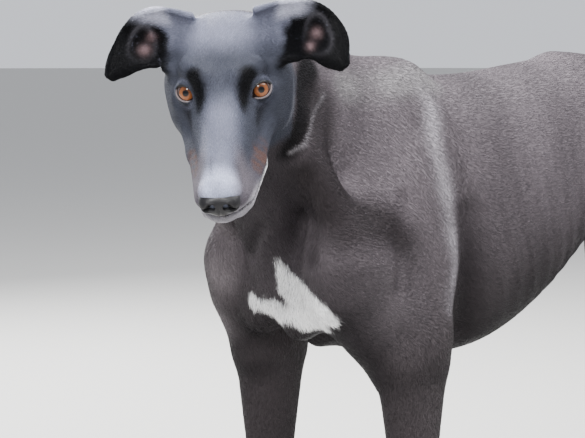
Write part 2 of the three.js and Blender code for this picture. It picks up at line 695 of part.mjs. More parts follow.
// Ears: a cup that opens forwards and out, held sideways, with its tip folded over and hanging.
// Rows along the ear: its place out to the side, up and forward of the face, its half width, and how far its
// edges curl forward (a cup) or back.
const EAR_WALL = 2.6;
const EAR_TILT = 38; // degrees by which the ears' own front looks up from the muzzle's line
const EARS = {
  left: [
    [43, 46, -38, 27, 18],
    [62, 50, -30, 28, 17],
    [81, 48, -18, 27, 9],
    [96, 38, -6, 22, -1],
    [106, 23, 2, 14, -5],
    [113, 13, 4, 5, -2],
  ],
  right: [
    [44, 44, -38, 27, 18],
    [61, 49, -30, 28, 17],
    [76, 43, -18, 24, 9],
    [89, 33, -6, 17, -1],
    [99, 22, 2, 11, -5],
    [105, 14, 4, 4.5, -2],
  ],
};
function ear(rows, s) {
  const [up, on] = [Math.sin(radians(EAR_TILT)), Math.cos(radians(EAR_TILT))];
  const table = rows.map((row, i) => [i / (rows.length - 1), ...row]);
  const surface = (u, v) => {
    const [out, rise, front, half, curl] = along(table, v);
    const next = along(table, Math.min(v + 0.02, 1));
    const last = along(table, Math.max(v - 0.02, 0));
    const [dx, dy] = [next[0] - last[0], next[1] - last[1]];
    const far = Math.hypot(dx, dy);
    const a = (u * 2 - 1) * 1.3;
    const across = half * Math.sin(a);
    const x = out - (dy / far) * across;
    const r = rise + (dx / far) * across;
    const f = front + curl * (1 - Math.cos(a)) * 1.3;
    return [s * x, r * up - f * on, r * on + f * up];
  };
  return placed(shell((u, v) => {
    const e = 0.01;
    const du = sub(surface(u + e, v), surface(u - e, v));
    const dv = sub(surface(u, Math.min(v + e, 1)), surface(u, Math.max(v - e, 0)));
    const rim = 0.4 + 0.6 * Math.sqrt(Math.sin(Math.PI * clamp(u, 0.01, 0.99)));
    const shift = scaled(unit(cross(du, dv)), (EAR_WALL / 2) * rim);
    return [add(surface(u, v), shift), sub(surface(u, v), shift)];
  }, 12, 11));
}
const skullGrown = skullOf(GAP);
node("ear_left", ear(EARS.left, 1).subtract(skullGrown), materials.coat);
node("ear_right", ear(EARS.right, -1).subtract(skullGrown), materials.coat);

// Legs.
const downward = [0, 0, -1];
for (const side of ["left", "right"]) {
  const s = side === "left" ? 1 : -1;
  const f = FORELEGS[side];
  const h = HINDLEGS[side];
  const foreField = melt([...trunk, ...fore[side]]);
  const t = (f.elbow[2] - ELBOW_CUT) / (f.elbow[2] - f.wrist[2]);
  const top = mix(f.elbow, f.wrist, t);
  const along1 = unit(sub(f.wrist, f.elbow));
  const along2 = unit(sub(f.knuckle, f.wrist));
  const wristCut = { at: mix(f.wrist, f.knuckle, 0.1), facing: unit(add(along1, along2)) };
  node(`forearm_${side}`, loft(foreField, sections([
    { at: top, facing: downward, rings: 2 },
    { at: mix(f.elbow, f.wrist, 0.36), facing: along1, rings: 7 },
    wristCut,
  ]), 14, { up: [0, -1, 0], squeeze: 0.75 }), materials.coat);
  node(`front_pastern_${side}`, loft(foreField, sections([
    { ...wristCut, rings: 5 },
    { at: add(f.knuckle, [0, 0, 2]), facing: along2 },
  ]), 14, { up: [0, -1, 0] }), materials.coat);

  const hindField = melt([...trunk, ...hind[side]]);
  const shank = unit(sub(h.hock, h.knee));
  const meta = unit(sub(h.knuckle, h.hock));
  const kneeCut = kneeCuts[side === "left" ? 0 : 1];
  const hockCut = { at: add(h.hock, [0, 2, -22]), facing: meta };
  node(`shank_${side}`, loft(hindField, sections([
    { ...kneeCut, rings: 7 },
    { at: mix(h.knee, h.hock, 0.88), facing: unit(mix(shank, meta, 0.25)), rings: 4 },
    hockCut,
  ]), 14, { up: [0, -1, 0], squeeze: 0.75 }), materials.coat);
  node(`rear_pastern_${side}`, loft(hindField, sections([
    { ...hockCut, rings: 5 },
    { at: add(h.knuckle, [0, 0, 2]), facing: meta },
  ]), 14, { up: [0, -1, 0] }), materials.coat);
}

// Paws: a body under the knuckles and four toes, with a claw on each.
const TOES = [-1.5, -0.5, 0.5, 1.5]; // their places across the paw
const SOLE = 3; // how much of each pad is pressed flat
function paw(knuckle, way, size, grow) {
  const [x, y] = knuckle;
  const low = (dx, dy, z) => [x + dx * size, y + dy * size, z * size];
  const clip = (p) => -SOLE - p[2];
  const bodyField = melt([
    { d: egg(knuckle, [24, 16, 16].map((r) => r * size)), k: 1 },
    { d: limb(low(0, 0, 44), 18 * size, low(0, -20, 28), 17 * size), k: 8 },
    { d: egg(low(0, -17, 12), [21.5 * size, 16 * size, 14.5 * size]), k: 10 },
    { d: egg(low(0, -22, 26), [21 * size, 14 * size, 13 * size]), k: 8 },
    { d: egg(low(0, -33, 12), [19 * size, 13 * size, 10 * size]), k: 8 },
  ]);
  let made = loft(bodyField, sections([
    { at: add(knuckle, [0, 0, 2]), facing: way, rings: 2 },
    { at: low(0, -8, 28), facing: unit([0, -0.5, -0.85]), rings: 3 },
    { at: low(0, -22, 18), facing: [0, -1, 0], rings: 2 },
    { at: low(0, -34, 20), facing: [0, -1, 0] },
  ]), 12, { up: [0, -0.4, 1], clip, grow });
  for (const t of TOES) {
    const reach = Math.abs(t) < 1 ? 9 : 0;
    const path = [
      low(t * 10, -12, 30),
      low(t * 13.5, -26 - reach * 0.5, 33),
      low(t * 15, -44 - reach * 0.8, 21),
      low(t * 15.5, -56 - reach, 10),
    ];
    const radii = [9, 9.5, 8.5, 8.6].map((r) => r * size);
    const toe = melt([
      ...path.slice(1).map((end, i) => ({ d: limb(path[i], radii[i], end, radii[i + 1]), k: 3 })),
      { d: egg(low(t * 15.5, -50 - reach, 6), [8.5 * size, 12 * size, 10 * size]), k: 4 },
    ]);
    const curve = new THREE.CatmullRomCurve3(path.map((p) => new THREE.Vector3(...p)));
    const rings = [0, 0.25, 0.5, 0.75, 1].map((u) => (
      { at: curve.getPoint(u).toArray(), facing: curve.getTangent(u).toArray() }));
    const tip = path[3];
    rings.push({ at: add(tip, [0, -7.4 * size, -1]), facing: [0, -1, -0.2] });
    made = made.add(loft(toe, rings, 8, { clip, grow }));
  }
  return made.subtract(slab({ at: [x, y - 24, -10], facing: [0, 0, 1] }, 160, 160, 20));
}
function claw(knuckle, t, size) {
  const [x, y] = knuckle;
  const reach = Math.abs(t) < 1 ? 9 : 0;
  const root = [x + t * 15.5 * size, y - (58 + reach) * size, 12 * size];
  const rings = [0, 0.4, 0.75, 1].map((u) => ({
    at: add(root, [0, -17 * u * size, (2 * u - 11 * u * u) * size]),
    facing: unit([0, -17, 2 - 22 * u]),
    r: 3.3 * size * (1 - 0.82 * u ** 1.5),
  }));
  const joints = rings.slice(1).map((ring, i) => limb(rings[i].at, rings[i].r, ring.at, ring.r));
  const field = (p) => Math.min(...joints.map((joint) => joint(p)));
  return loft(field, rings, 5);
}
for (const [group, legs, size] of [["front", FORELEGS, 1], ["rear", HINDLEGS, 0.95]]) {
  for (const side of ["left", "right"]) {
    const leg = legs[side];
    const way = unit(sub(leg.knuckle, group === "front" ? leg.wrist : leg.hock));
    node(`${group}_paw_${side}`, paw(leg.knuckle, way, size, 0), materials.coat);
    const grown = paw(leg.knuckle, way, size, GAP);
    TOES.forEach((t, i) => {
      node(`${group}_claw_${side}_${i + 1}`, claw(leg.knuckle, t, size).subtract(grown), materials.claw);
    });
  }
}

// Tail: hangs from the rump in one slow curve.
const tailField = melt(tailForms);
const TAIL_STEPS = 12;
const tailCurve = new THREE.CatmullRomCurve3(
  TAIL.slice(TAIL_ROOT).map((row) => new THREE.Vector3(...row.slice(0, 3))),
);
const tailRings = [];
for (let i = 0; i <= TAIL_STEPS; i += 1) {
  const share = i / TAIL_STEPS;
  tailRings.push({
    at: tailCurve.getPointAt(share).toArray(),
    facing: tailCurve.getTangentAt(share).toArray(),
  });
}
tailRings[0] = tailCut;
node("tail", loft(tailField, tailRings, 10, { up: [1, 0, 0] }), materials.coat);

part.position.set(-CENTRE[0], -CENTRE[1], -CENTRE[2]);
export default part;
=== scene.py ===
# %% [markdown]
# A greyhound, still and life-size. It stands with its head turned to its left and lowered.
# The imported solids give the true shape, in facets. This file gives the looks: one smooth skin worked out from
# the same forms as the solids, a short coat of fine tufts, eyes, nose, lids, claws, and a studio to see them in.
# Everything is worked out in the modelling frame, in millimetres, and moved to the row's frame at the end.

# %% Load the frame
import math

import bpy
import numpy as np
from mathutils import Matrix, Vector


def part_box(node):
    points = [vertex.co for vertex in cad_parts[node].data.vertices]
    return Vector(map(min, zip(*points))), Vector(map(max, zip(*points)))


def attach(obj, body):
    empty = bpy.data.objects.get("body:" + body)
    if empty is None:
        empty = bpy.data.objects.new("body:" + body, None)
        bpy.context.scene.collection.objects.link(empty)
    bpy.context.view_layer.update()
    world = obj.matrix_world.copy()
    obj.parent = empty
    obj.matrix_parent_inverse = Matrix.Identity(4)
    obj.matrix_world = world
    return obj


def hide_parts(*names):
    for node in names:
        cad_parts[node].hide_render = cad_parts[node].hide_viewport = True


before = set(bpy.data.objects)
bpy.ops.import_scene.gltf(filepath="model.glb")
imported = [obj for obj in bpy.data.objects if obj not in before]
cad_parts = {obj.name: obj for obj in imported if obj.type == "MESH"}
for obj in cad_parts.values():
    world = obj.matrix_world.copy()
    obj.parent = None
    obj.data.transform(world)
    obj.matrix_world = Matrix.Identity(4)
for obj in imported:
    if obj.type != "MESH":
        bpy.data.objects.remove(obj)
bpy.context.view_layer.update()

CENTRE = np.array([38.0, 190.0, 0.0])  # the place under the middle of the dog, which is the row's origin
MM = 0.001
rng = np.random.default_rng(7)


# %% [markdown]
# The camera first, because everything else is judged through it. It stands where the photographer did: ahead of
# the dog and to its left, at the height of its back, with a long lens that flattens the depth.

# %% Camera
VIEW_TURN = 51.9  # degrees round from straight ahead
VIEW_RISE = 5.4  # degrees above level
DISTANCE = 2.2  # metres
FOCAL_PIXELS = 1960.1  # focal length in the photograph's pixels
PICTURE_WIDTH = 585
AIM = (-0.077, 0.023)  # metres right and up of the point half a metre above the floor


def aim_camera():
    """The camera's axes: back points from the dog to the lens, right is level, up is their cross product."""
    turn, rise = math.radians(VIEW_TURN), math.radians(VIEW_RISE)
    back = Vector((math.sin(turn) * math.cos(rise), -math.cos(turn) * math.cos(rise), math.sin(rise)))
    right = Vector((math.cos(turn), math.sin(turn), 0))
    up = back.cross(right)
    middle = Vector((-CENTRE[0] * MM, -CENTRE[1] * MM, 0.5)) + right * AIM[0] + up * AIM[1]
    data = bpy.data.cameras.new("photo_camera")
    data.sensor_width = 36
    data.lens = FOCAL_PIXELS * data.sensor_width / PICTURE_WIDTH
    data.clip_end = 200
    camera = bpy.data.objects.new("photo_camera", data)
    bpy.context.scene.collection.objects.link(camera)
    axes = Matrix((right, up, back)).transposed().to_4x4()
    camera.matrix_world = Matrix.Translation(middle + back * DISTANCE) @ axes
    bpy.context.scene.camera = camera
    return camera


camera = aim_camera()
print("lens", round(camera.data.lens, 1), "mm at", [round(v, 2) for v in camera.location])


# %% [markdown]
# Flesh is soft and has no edges, so it isn't built from flat pieces. It is described as a distance: a number for
# each point of space, negative inside. Round limbs, eggs and long hulls are the bones and muscles, and a smooth
# minimum melts them into each other. Every function here takes all the points at once, as one array.

# %% Distances to simple forms
def spread(rows, key):
    """Values along a table of rows [key, value...]: cubic pieces, each row's slope taken from its neighbours."""
    rows = np.asarray(rows, float)
    x = np.clip(key, rows[0, 0], rows[-1, 0])
    i = np.clip(np.searchsorted(rows[:, 0], x, side="right") - 1, 0, len(rows) - 2)
    before = np.maximum(np.arange(len(rows)) - 1, 0)
    after = np.minimum(np.arange(len(rows)) + 1, len(rows) - 1)
    slope = (rows[after, 1:] - rows[before, 1:]) / (rows[after, :1] - rows[before, :1])
    span = (rows[i + 1, 0] - rows[i, 0])[:, None]
    t = (x - rows[i, 0])[:, None] / span
    ease = 3 * t**2 - 2 * t**3
    bend = (t**3 - 2 * t**2 + t) * slope[i] * span + (t**3 - t**2) * slope[i + 1] * span
    return (1 - ease) * rows[i, 1:] + ease * rows[i + 1, 1:] + bend


def length(v):
    """The root of the sum of the squares, over the last axis."""
    return np.sqrt(np.einsum("...i,...i->...", v, v))


def unit(v):
    """Vectors divided by their own length."""
    return v / np.maximum(length(v), 1e-9)[..., None]


def smooth(value, low, high):
    """0 below low, 1 above high, and a soft step between."""
    t = np.clip((value - low) / (high - low), 0, 1)
    return t * t * (3 - 2 * t)


def limb(a, ra, b, rb, flat=1.0, side=(1, 0, 0)):
    """A tapering round limb from a to b, thinner by the share flat along side: distance to the line, less the
    radius there."""
    a, b, side = (np.array(v, float) for v in (a, b, side))
    ab = b - a

    def distance(p):
        ap = p - a
        t = np.clip(ap @ ab / (ab @ ab), 0, 1)
        v = ap - t[:, None] * ab
        r = ra + (rb - ra) * t
        if flat == 1:
            return length(v) - r
        across = (v @ side)[:, None] * side
        once = length(v + across * (1 / flat - 1))
        twice = length(v + across * (1 / flat**2 - 1))
        return (once - r) * once / np.maximum(twice, 1e-6)

    return distance, (a + b) / 2, np.linalg.norm(ab) / 2 + max(ra, rb)


def egg(centre, radii, tilt=0.0):
    """An egg with three radii, tipped by tilt degrees about its x axis: the scaled length, less 1, over its
    slope."""
    centre, radii = np.array(centre, float), np.array(radii, float)
    c, s = math.cos(math.radians(tilt)), math.sin(math.radians(tilt))
    turn = np.array([[1, 0, 0], [0, c, s], [0, -s, c]])

    def distance(p):
        q = (p - centre) @ turn.T
        k0 = length(q / radii)
        return k0 * (k0 - 1) / np.maximum(length(q / radii**2), 1e-9)

    return distance, centre, radii.max()


def hull(rows, closing, power=2.3):
    """A long hull along y from rows of y, top, bottom and half width, each section a rounded oblong."""
    first, last = rows[0][0], rows[-1][0]

    def distance(p):
        x, y, z = p.T
        top, bottom, half = spread(rows, y).T
        rise, tall = z - (top + bottom) / 2, (top - bottom) / 2
        over = np.maximum(np.maximum(first - y, y - last), 0)
        shrink = np.sqrt(np.maximum(1 - (over / closing) ** 2, 1e-4))
        u, v = np.abs(x) / (half * shrink), np.abs(rise) / (tall * shrink)
        rho = np.maximum((u**power + v**power) ** (1 / power), 1e-3)
        outside = np.hypot(over * 0.5, np.hypot(x, rise) * (1 - 1 / rho))
        return np.where(rho < 1, (rho - 1) * np.minimum(half, tall) * shrink, outside)

    return distance, None, None


NEAR = 45.0  # a form is worked out only for points within this many millimetres of its own ball


def meet(d, e, k):
    """The smaller of two distances, lowered by (k - difference) squared over 4k where they differ by less than
    the blending width k."""
    return np.minimum(d, e) - np.maximum(k - np.abs(d - e), 0) ** 2 / (4 * k)


def melt(forms, p):
    """All forms melted together in order. A form is a shape and its blending width, and the word cut after them
    if it is taken away."""
    d = np.full(len(p), 1e3)
    for (distance, centre, reach), k, *cut in forms:
        near = slice(None)
        if centre is not None:
            near = np.flatnonzero(length(p - centre) < reach + NEAR)
            if not len(near):
                continue
        e = distance(p[near])
        d[near] = -meet(-d[near], e, k) if cut else meet(d[near], e, k)
    return d


def capsule(p, path, radii=0):
    """Distance from points to a chain of straight pieces, whose radius may change along it."""
    best = np.full(len(p), 1e3)
    radii = np.broadcast_to(radii, len(path))
    for a, b, ra, rb in zip(path, path[1:], radii, radii[1:]):
        best = np.minimum(best, limb(a, ra, b, rb)[0](p))
    return best


def both(make, k, *cut):
    """The same form on the left (1) and on the right (-1)."""
    return [(make(s), k, *cut) for s in (1, -1)]


# %% [markdown]
# The driving dimensions are those of the solids: where each joint of each leg is, and the profiles of trunk, head
# and tail. They are repeated here, because a scene reads nothing but its frame.

# %% Dimensions of the dog
HEAD_AT = np.array([113.0, -273.0, 678.0])  # midway between the eyes
HEAD_SIZE = 1.06
EYE_RADIUS = 11.5  # millimetres; a greyhound's eyeball is about 23 across
FORELEGS = {  # shoulder, elbow, wrist and knuckle, on the left (1) and on the right (-1)
    1: np.array([[84, -92, 488], [86, 16, 388], [79, 10, 168], [79, -6, 48]], float),
    -1: np.array([[-80, -104, 476], [-83, -50, 392], [-78, -71, 168], [-78, -89, 48]], float),
}
HINDLEGS = {  # hip, knee, hock and knuckle
    1: np.array([[54, 462, 585], [82, 430, 396], [77, 614, 186], [76, 602, 46]], float),
    -1: np.array([[-54, 482, 585], [-76, 500, 390], [-74, 676, 192], [-73, 660, 46]], float),
}
TRUNK = [  # y, top, bottom and half width, as in the skull
    [-100, 600, 440, 46], [-60, 655, 404, 68], [10, 694, 376, 80], [90, 686, 362, 92],
    [160, 687, 370, 97], [240, 697, 408, 90], [320, 706, 466, 72], [380, 702, 515, 62],
    [440, 686, 535, 62], [500, 652, 552, 52], [540, 622, 566, 34],
]
SKULL = [
    [-126, -26, -50, 15], [-112, -19, -60, 20], [-85, -11, -66, 22], [-55, -3, -69, 25],
    [-28, 7, -71, 31], [0, 18, -72, 40], [30, 23, -68, 46], [60, 22, -58, 46], [88, 16, -42, 35],
]
TAIL = [  # a place and the radius there
    [0, 524, 622, 22], [0, 566, 604, 17], [0, 590, 562, 14], [0, 606, 490, 11.5],
    [0, 620, 400, 9], [0, 642, 312, 6.8], [0, 684, 244, 5], [0, 738, 214, 3.4],
]


def turned(axis, degrees):
    """The matrix of a turn about one axis."""
    return np.array(Matrix.Rotation(math.radians(degrees), 3, axis))


HEAD_TURN = turned("Z", 50) @ turned("X", 34) @ turned("Y", -3.5)  # yaw, then pitch, then roll


def from_head(p):
    """From the head's own frame, nose along -y, to the dog's."""
    return np.asarray(p, float) @ HEAD_TURN.T * HEAD_SIZE + HEAD_AT


def to_head(p):
    """The reverse of from_head."""
    return (np.asarray(p, float) - HEAD_AT) @ HEAD_TURN / HEAD_SIZE


print("nose tip at", from_head([0, -135, -33]).round(0), "mm")


# %% [markdown]
# The forms of the trunk, the neck and the four legs, in the order in which they melt. They are the same as those
# of the solids. On a real greyhound these are the deep chest, the arched loin, the flat shoulder blade, the long
# triceps behind it, the thigh, and the tendon that stands free above the hock.

# %% Trunk, neck and legs
trunk_forms = [
    (hull(TRUNK, 26), 1),
    (egg([0, -86, 482], [54, 58, 76], -18), 24),
    (limb([0, -128, 478], 14, [0, -60, 402], 14), 18),  # keel of the breast
    (limb([0, -60, 402], 14, [0, 20, 386], 12), 18),
    *both(lambda s: egg([s * 34, -104, 452], [32, 34, 54], -16), 16),
    (limb([0, 300, 690], 16, [0, 500, 652], 14), 20),
    *both(lambda s: egg([s * 44, 478, 626], [34, 74, 40], -22), 24),
    *both(lambda s: egg([s * 30, 548, 594], [22, 26, 26]), 18),
    *both(lambda s: egg([s * 44, 386, 664], [16, 26, 18]), 20),
]
neck_forms = [
    (limb([0, -40, 596], 92, from_head([0, 48, -24]), 56, 0.72, unit(np.array([0.88, 0.47, 0]))), 20),
    (limb([0, 20, 668], 28, from_head([0, 70, -4]), 25), 40),
    (limb([0, -112, 520], 30, from_head([0, 30, -52]), 26), 30),
    *both(lambda s: limb(from_head([s * 34, 52, -40]), 18, FORELEGS[s][0] + (0, 0, 26), 26), 26),
    *both(lambda s: limb(from_head([s * 24, 36, -62]), 14, [s * 12, -130, 494], 15), 22),
]


def foreleg_forms(s):
    """Round limbs and eggs from the shoulder blade down to the knuckles, set off from the joints."""
    shoulder, elbow, wrist, knuckle = FORELEGS[s]
    return [
        (limb([s * 26, 36, 668], 26, shoulder, 42, 0.66), 30),  # shoulder blade
        (limb([s * 44, 52, 610], 34, shoulder + (0, 48, 0), 36, 0.7), 30),
        (egg(shoulder, [32, 36, 38]), 24),
        (limb(shoulder, 40, elbow + (0, -10, 0), 32, 0.82), 24),
        (limb([s * 66, 34, 560], 46, elbow + (0, 10, 26), 30, 0.66), 30),  # triceps
        (limb(shoulder + (-4 * s, -4, -40), 34, elbow + (-8 * s, -42, -16), 25), 22),
        (egg(elbow, [25, 32, 28]), 18),
        (limb(elbow + (0, 18, 22), 12, elbow + (0, 10, -8), 14), 16),
        (limb(elbow + (0, -22, -18), 38, wrist, 15, 0.8), 20),  # forearm
        (limb(elbow + (0, 8, -28), 22, wrist + (0, 8, 24), 10, 0.95), 18),
        (egg(wrist, [20, 17.5, 24]), 14),
        (egg(wrist + (0, 17, -10), [9, 8, 10]), 8),
        (limb(wrist, 16, knuckle, 15, 0.9, (0, 1, 0)), 14),
        (egg(knuckle, [24, 16, 16]), 12),
    ]


def hindleg_forms(s):
    """Round limbs and eggs from the thigh down to the knuckles, set off from the joints."""
    hip, knee, hock, knuckle = HINDLEGS[s]
    return [
        (limb(hip, 62, knee, 40, 0.58), 30),  # thigh
        (limb([s * 48, hip[1] - 44, 612], 32, knee + (0, -6, 16), 30, 0.62), 24),
        (limb([s * 40, 540, 590], 38, knee + (0, 52, -36), 26, 0.66), 26),
        (egg(knee + (0, -8, -2), [23, 27, 34]), 18),
        (limb(knee + (0, 12, -26), 30, hock, 15, 0.78), 18),  # shank
        (limb(knee + (0, 50, -30), 27, hock + (0, 8, 84), 10, 0.72), 18),
        (limb(hock + (0, 8, 90), 9.5, hock + (0, 19, 18), 9.5), 14),  # tendon
        (limb(hock + (0, -56, 128), 28, hock + (0, -2, 22), 18, 0.28), 14),  # web of skin
        (egg(hock, [16, 19, 24]), 12),
        (egg(hock + (0, 19, 12), [10, 10, 13]), 10),
        (limb(hock, 15.5, knuckle, 15, 0.9), 14),
        (egg(knuckle, [23, 16, 16]), 12),
    ]


def curved(rows, count):
    """Rows along a smooth line through the given ones: each stretch is a cubic whose slope at a row is half the
    step from the row before to the row after."""
    rows = np.array(rows, float)
    ends = np.vstack([2 * rows[:1] - rows[1:2], rows, 2 * rows[-1:] - rows[-2:-1]])
    place = np.linspace(0, len(rows) - 1 - 1e-6, count)
    i = place.astype(int)
    t = (place - i)[:, None]
    a, b, c, d = (ends[i + n] for n in range(4))
    return b + (c - a) * t / 2 + (2 * a - 5 * b + 4 * c - d) * t**2 / 2 + (3 * b - a - 3 * c + d) * t**3 / 2


tail_rows = curved(TAIL, 22)
tail_forms = [((lambda p: capsule(p, tail_rows[:, :3], tail_rows[:, 3]), np.array([0, 630, 420]), 240), 12)]


# %% [markdown]
# A greyhound's paw is narrow and arched like a hare's. A small body lies under the knuckles and four toes leave
# it, the middle two longer. The toes melt into the body but hardly into each other, so the clefts stay. Under
# them everything is cut level at the floor, as pads are under a dog's weight.

# %% Paws
PAWS = [(legs[s][3], size) for legs, size in ((FORELEGS, 1.0), (HINDLEGS, 0.95)) for s in (1, -1)]
TOES = [(-1.5, 0), (-0.5, 9), (0.5, 9), (1.5, 0)]  # place across the paw, and how much further the toe reaches


def paw_forms(knuckle, size):
    """A body of four forms and, for each toe, three limbs in a chain and an egg for its pad."""
    def low(dx, dy, z):
        """A place given from the floor under the knuckle, times the paw's size."""
        return knuckle * (1, 1, 0) + np.multiply((dx, dy, z), size)

    def ball(place, radii, k):
        return egg(low(*place), np.multiply(radii, size)), k

    forms = [
        (limb(low(0, 0, 44), 18 * size, low(0, -20, 28), 17 * size), 8),
        ball((0, -17, 12), (21.5, 16, 14.5), 10),
        ball((0, -22, 26), (21, 14, 13), 8),
        ball((0, -33, 12), (19, 13, 10), 8),
    ]
    radii = np.multiply((9, 9.5, 8.5, 8.6), size)
    for t, reach in TOES:
        path = [
            low(t * 10, -12, 30), low(t * 13.5, -26 - reach * 0.5, 33),
            low(t * 15, -44 - reach * 0.8, 21), low(t * 15.5, -56 - reach, 10),
        ]
        forms += [(limb(*joint), 2.5) for joint in zip(path, radii, path[1:], radii[1:])]
        forms.append(ball((t * 15.5, -50 - reach, 6), (8.2, 12, 10), 2.5))
    return forms


# %% [markdown]
# The head is long, narrow and dry: skin over bone. It has its own frame, with the origin between the eyes. The
# lids are a thin layer over each eyeball, open in an almond. The mouth is a groove that runs back from the front
# of the lips, and the leather of the nose is a piece of its own, made apart from the skin.

# %% Head
EYE_BALL = EYE_RADIUS / HEAD_SIZE
LID = 2.0  # thickness of a lid
ALMOND = {"half": 10.6, "above": 8.2, "below": 6.2, "tilt": 12.0, "drawn": 1.2}
LIP_LINE = [[-140, -52.5], [-124, -53], [-117, -53.6], [-96, -56], [-62, -56], [-36, -52], [-28, -50]]


def eye_frame(s):
    """Centre, outward, upward and forward directions of one eye, in the head's frame."""
    forward = unit(np.array([s * 0.42, -0.84, 0.3]))
    outward = unit(s * np.cross([0, 0, 1], forward))
    upward = np.cross(forward, outward) * s
    lean = math.radians(ALMOND["tilt"])
    out = outward * math.cos(lean) + upward * math.sin(lean)
    up = upward * math.cos(lean) - outward * math.sin(lean)
    return np.array([s * 33, 2.5, -5.5]), out, up, forward


def almond(x):
    """The upper and the lower lid's edge over a place across the eye: arches that come together at both corners,
    the inner one drawn out."""
    share = x / ALMOND["half"]
    outer = np.clip(1 - share**2, 0, None) ** 0.62
    inner = np.clip(1 - (share / ALMOND["drawn"]) ** 2, 0, None) ** 0.75
    arch = np.where(share > 0, outer, inner)
    return ALMOND["above"] * arch, -ALMOND["below"] * arch


def opening(s):
    """The part of space in front of an eye that its lids leave free."""
    centre, out, up, forward = eye_frame(s)

    def distance(h):
        v = h - centre
        x, y, z = v @ out, v @ up, v @ forward
        above, below = almond(x)
        ends = np.maximum(x - ALMOND["half"], -x - ALMOND["half"] * ALMOND["drawn"]) + 0.5
        lids = np.maximum(y - above, below - y) * 0.85 + 0.2
        return np.maximum(np.maximum(lids, ends), np.maximum(4 - z, z - 24))

    return distance, centre + forward * 12, 22


head_forms = [
    (hull(SKULL, 8, 2.4), 1),
    *both(lambda s: egg([s * 25, 66, 4], [27, 34, 21]), 14),  # temple muscle
    *both(lambda s: limb([s * 38, 12, -14], 9, [s * 46 + 2, 36, -14], 10), 12),  # cheek bone
    *both(lambda s: limb([s * 45 + 2, 34, -16], 10, [s * 43, 60, -12], 10), 12),
    *both(lambda s: egg([s * 39, 30, -36], [17, 32, 30]), 16),  # chewing muscle
    *both(lambda s: limb([s * 17, -4, 14], 9, [s * 32, 12, 15], 9), 14),  # brow
    *both(lambda s: limb([s * 15, -108, -44], 9, [s * 24, -34, -51], 12), 10),  # upper lip
    *both(lambda s: limb([s * 37, 12, -40], 12, [s * 25, -36, -50], 11), 8),  # corner of the mouth
    (limb([28, -48, -56], 9.5, [20, -98, -57], 8.5), 8),  # the left lip hangs a little
    *both(lambda s: limb([s * 13, -104, -62], 8, [s * 22, 20, -65], 11), 8),  # lower jaw
    (egg([0, -112, -58], [15, 13, 9]), 8),  # chin
    (limb([0, -118, -28], 13, [0, -30, -8], 15), 8),  # bridge of the nose
    *both(lambda s: egg([s * 9, -119, -29], [10, 10.5, 9]), 6),  # end of the muzzle
    *both(lambda s: egg([s * 44, -16, -8], [12, 16, 10]), 12, "cut"),  # hollow before the eye
    *both(lambda s: egg(eye_frame(s)[0], [EYE_BALL + LID] * 3), 3),  # lids
    *both(opening, 1.2, "cut"),
]
nose_forms = [
    (egg([0, -122, -34], [17.5, 13.5, 10]), 1),
    *both(lambda s: egg([s * 9.5, -127, -36], [9, 10, 8.5]), 4),
    (egg([0, -126, -41], [8, 9, 9]), 6),
]


# %% [markdown]
# The ears are held out and back, and their tips fold over: rose ears. Each is a thin sheet along a bent line. A
# point's place along the line, and how far to the side of it the point is, give the depth at which the sheet
# should be there, and the rest is how far the point is from the sheet.

# %% Ears
EAR_TILT = math.radians(38)
EARS = {  # rows from root to tip: out, up, forward, half width and curl, in a frame that leans back by the tilt
    1: [
        [36, 46, -38, 27, 18], [62, 50, -30, 28, 17], [81, 48, -18, 27, 9],
        [96, 38, -6, 22, -1], [106, 23, 2, 14, -5], [113, 13, 4, 5, -2],
    ],
    -1: [
        [36, 44, -38, 27, 18], [61, 49, -30, 28, 17], [76, 43, -18, 24, 9],
        [89, 33, -6, 17, -1], [99, 22, 2, 11, -5], [105, 14, 4, 4.5, -2],
    ],
}
EAR_WALL = 4.4  # thickness of the sheet
EAR_BOWLS = {  # middle and radii of the hollow inside each ear, out and up, and the knobs in it
    1: ([89, 43], [13, 15], [[88, 46, 5], [82, 34, 4]]),
    -1: ([76, 43], [12, 13], [[74, 39, 5], [68, 51, 4]]),
}


def ear_axes(h):
    """How far up and how far forward points are in the ears' leaning frame."""
    cos, sin = math.cos(EAR_TILT), math.sin(EAR_TILT)
    return h[:, 1] * sin + h[:, 2] * cos, h[:, 2] * sin - h[:, 1] * cos


def ear_place(h, s):
    """For points in the head's frame: place along the ear (0 root, 1 tip), offset to its side, height before its
    middle line, half width, curl, and how far past an end the point is."""
    table = np.array([[i / 5, *row] for i, row in enumerate(EARS[s])])
    marks = np.linspace(0, 1, 33)
    line = spread(table, marks)[:, :2]
    rise, front = ear_axes(h)
    step = np.diff(line, axis=0)
    rel = np.stack([s * h[:, 0], rise], 1)[:, None] - line[:-1]
    raw = np.einsum("nki,ki->nk", rel, step) / (step**2).sum(1)
    t = np.clip(raw, 0, 1)
    gap = rel - t[..., None] * step
    best = np.einsum("nki,nki->nk", gap, gap).argmin(1)
    rows = np.arange(len(h))
    v = (best + t[rows, best]) / (len(marks) - 1)
    way = unit(step[best])
    miss, raw = gap[rows, best], raw[rows, best]
    side = miss[:, 1] * way[:, 0] - miss[:, 0] * way[:, 1]
    beyond = ((best == 0) & (raw < 0)) | ((best == len(step) - 1) & (raw > 1))
    past = np.where(beyond, np.abs((miss * way).sum(1)), 0)
    side = np.where(beyond, side, np.sign(side) * length(miss))
    base, half, curl = spread(table, v)[:, 2:].T
    return v, side, front - base, half, curl, past


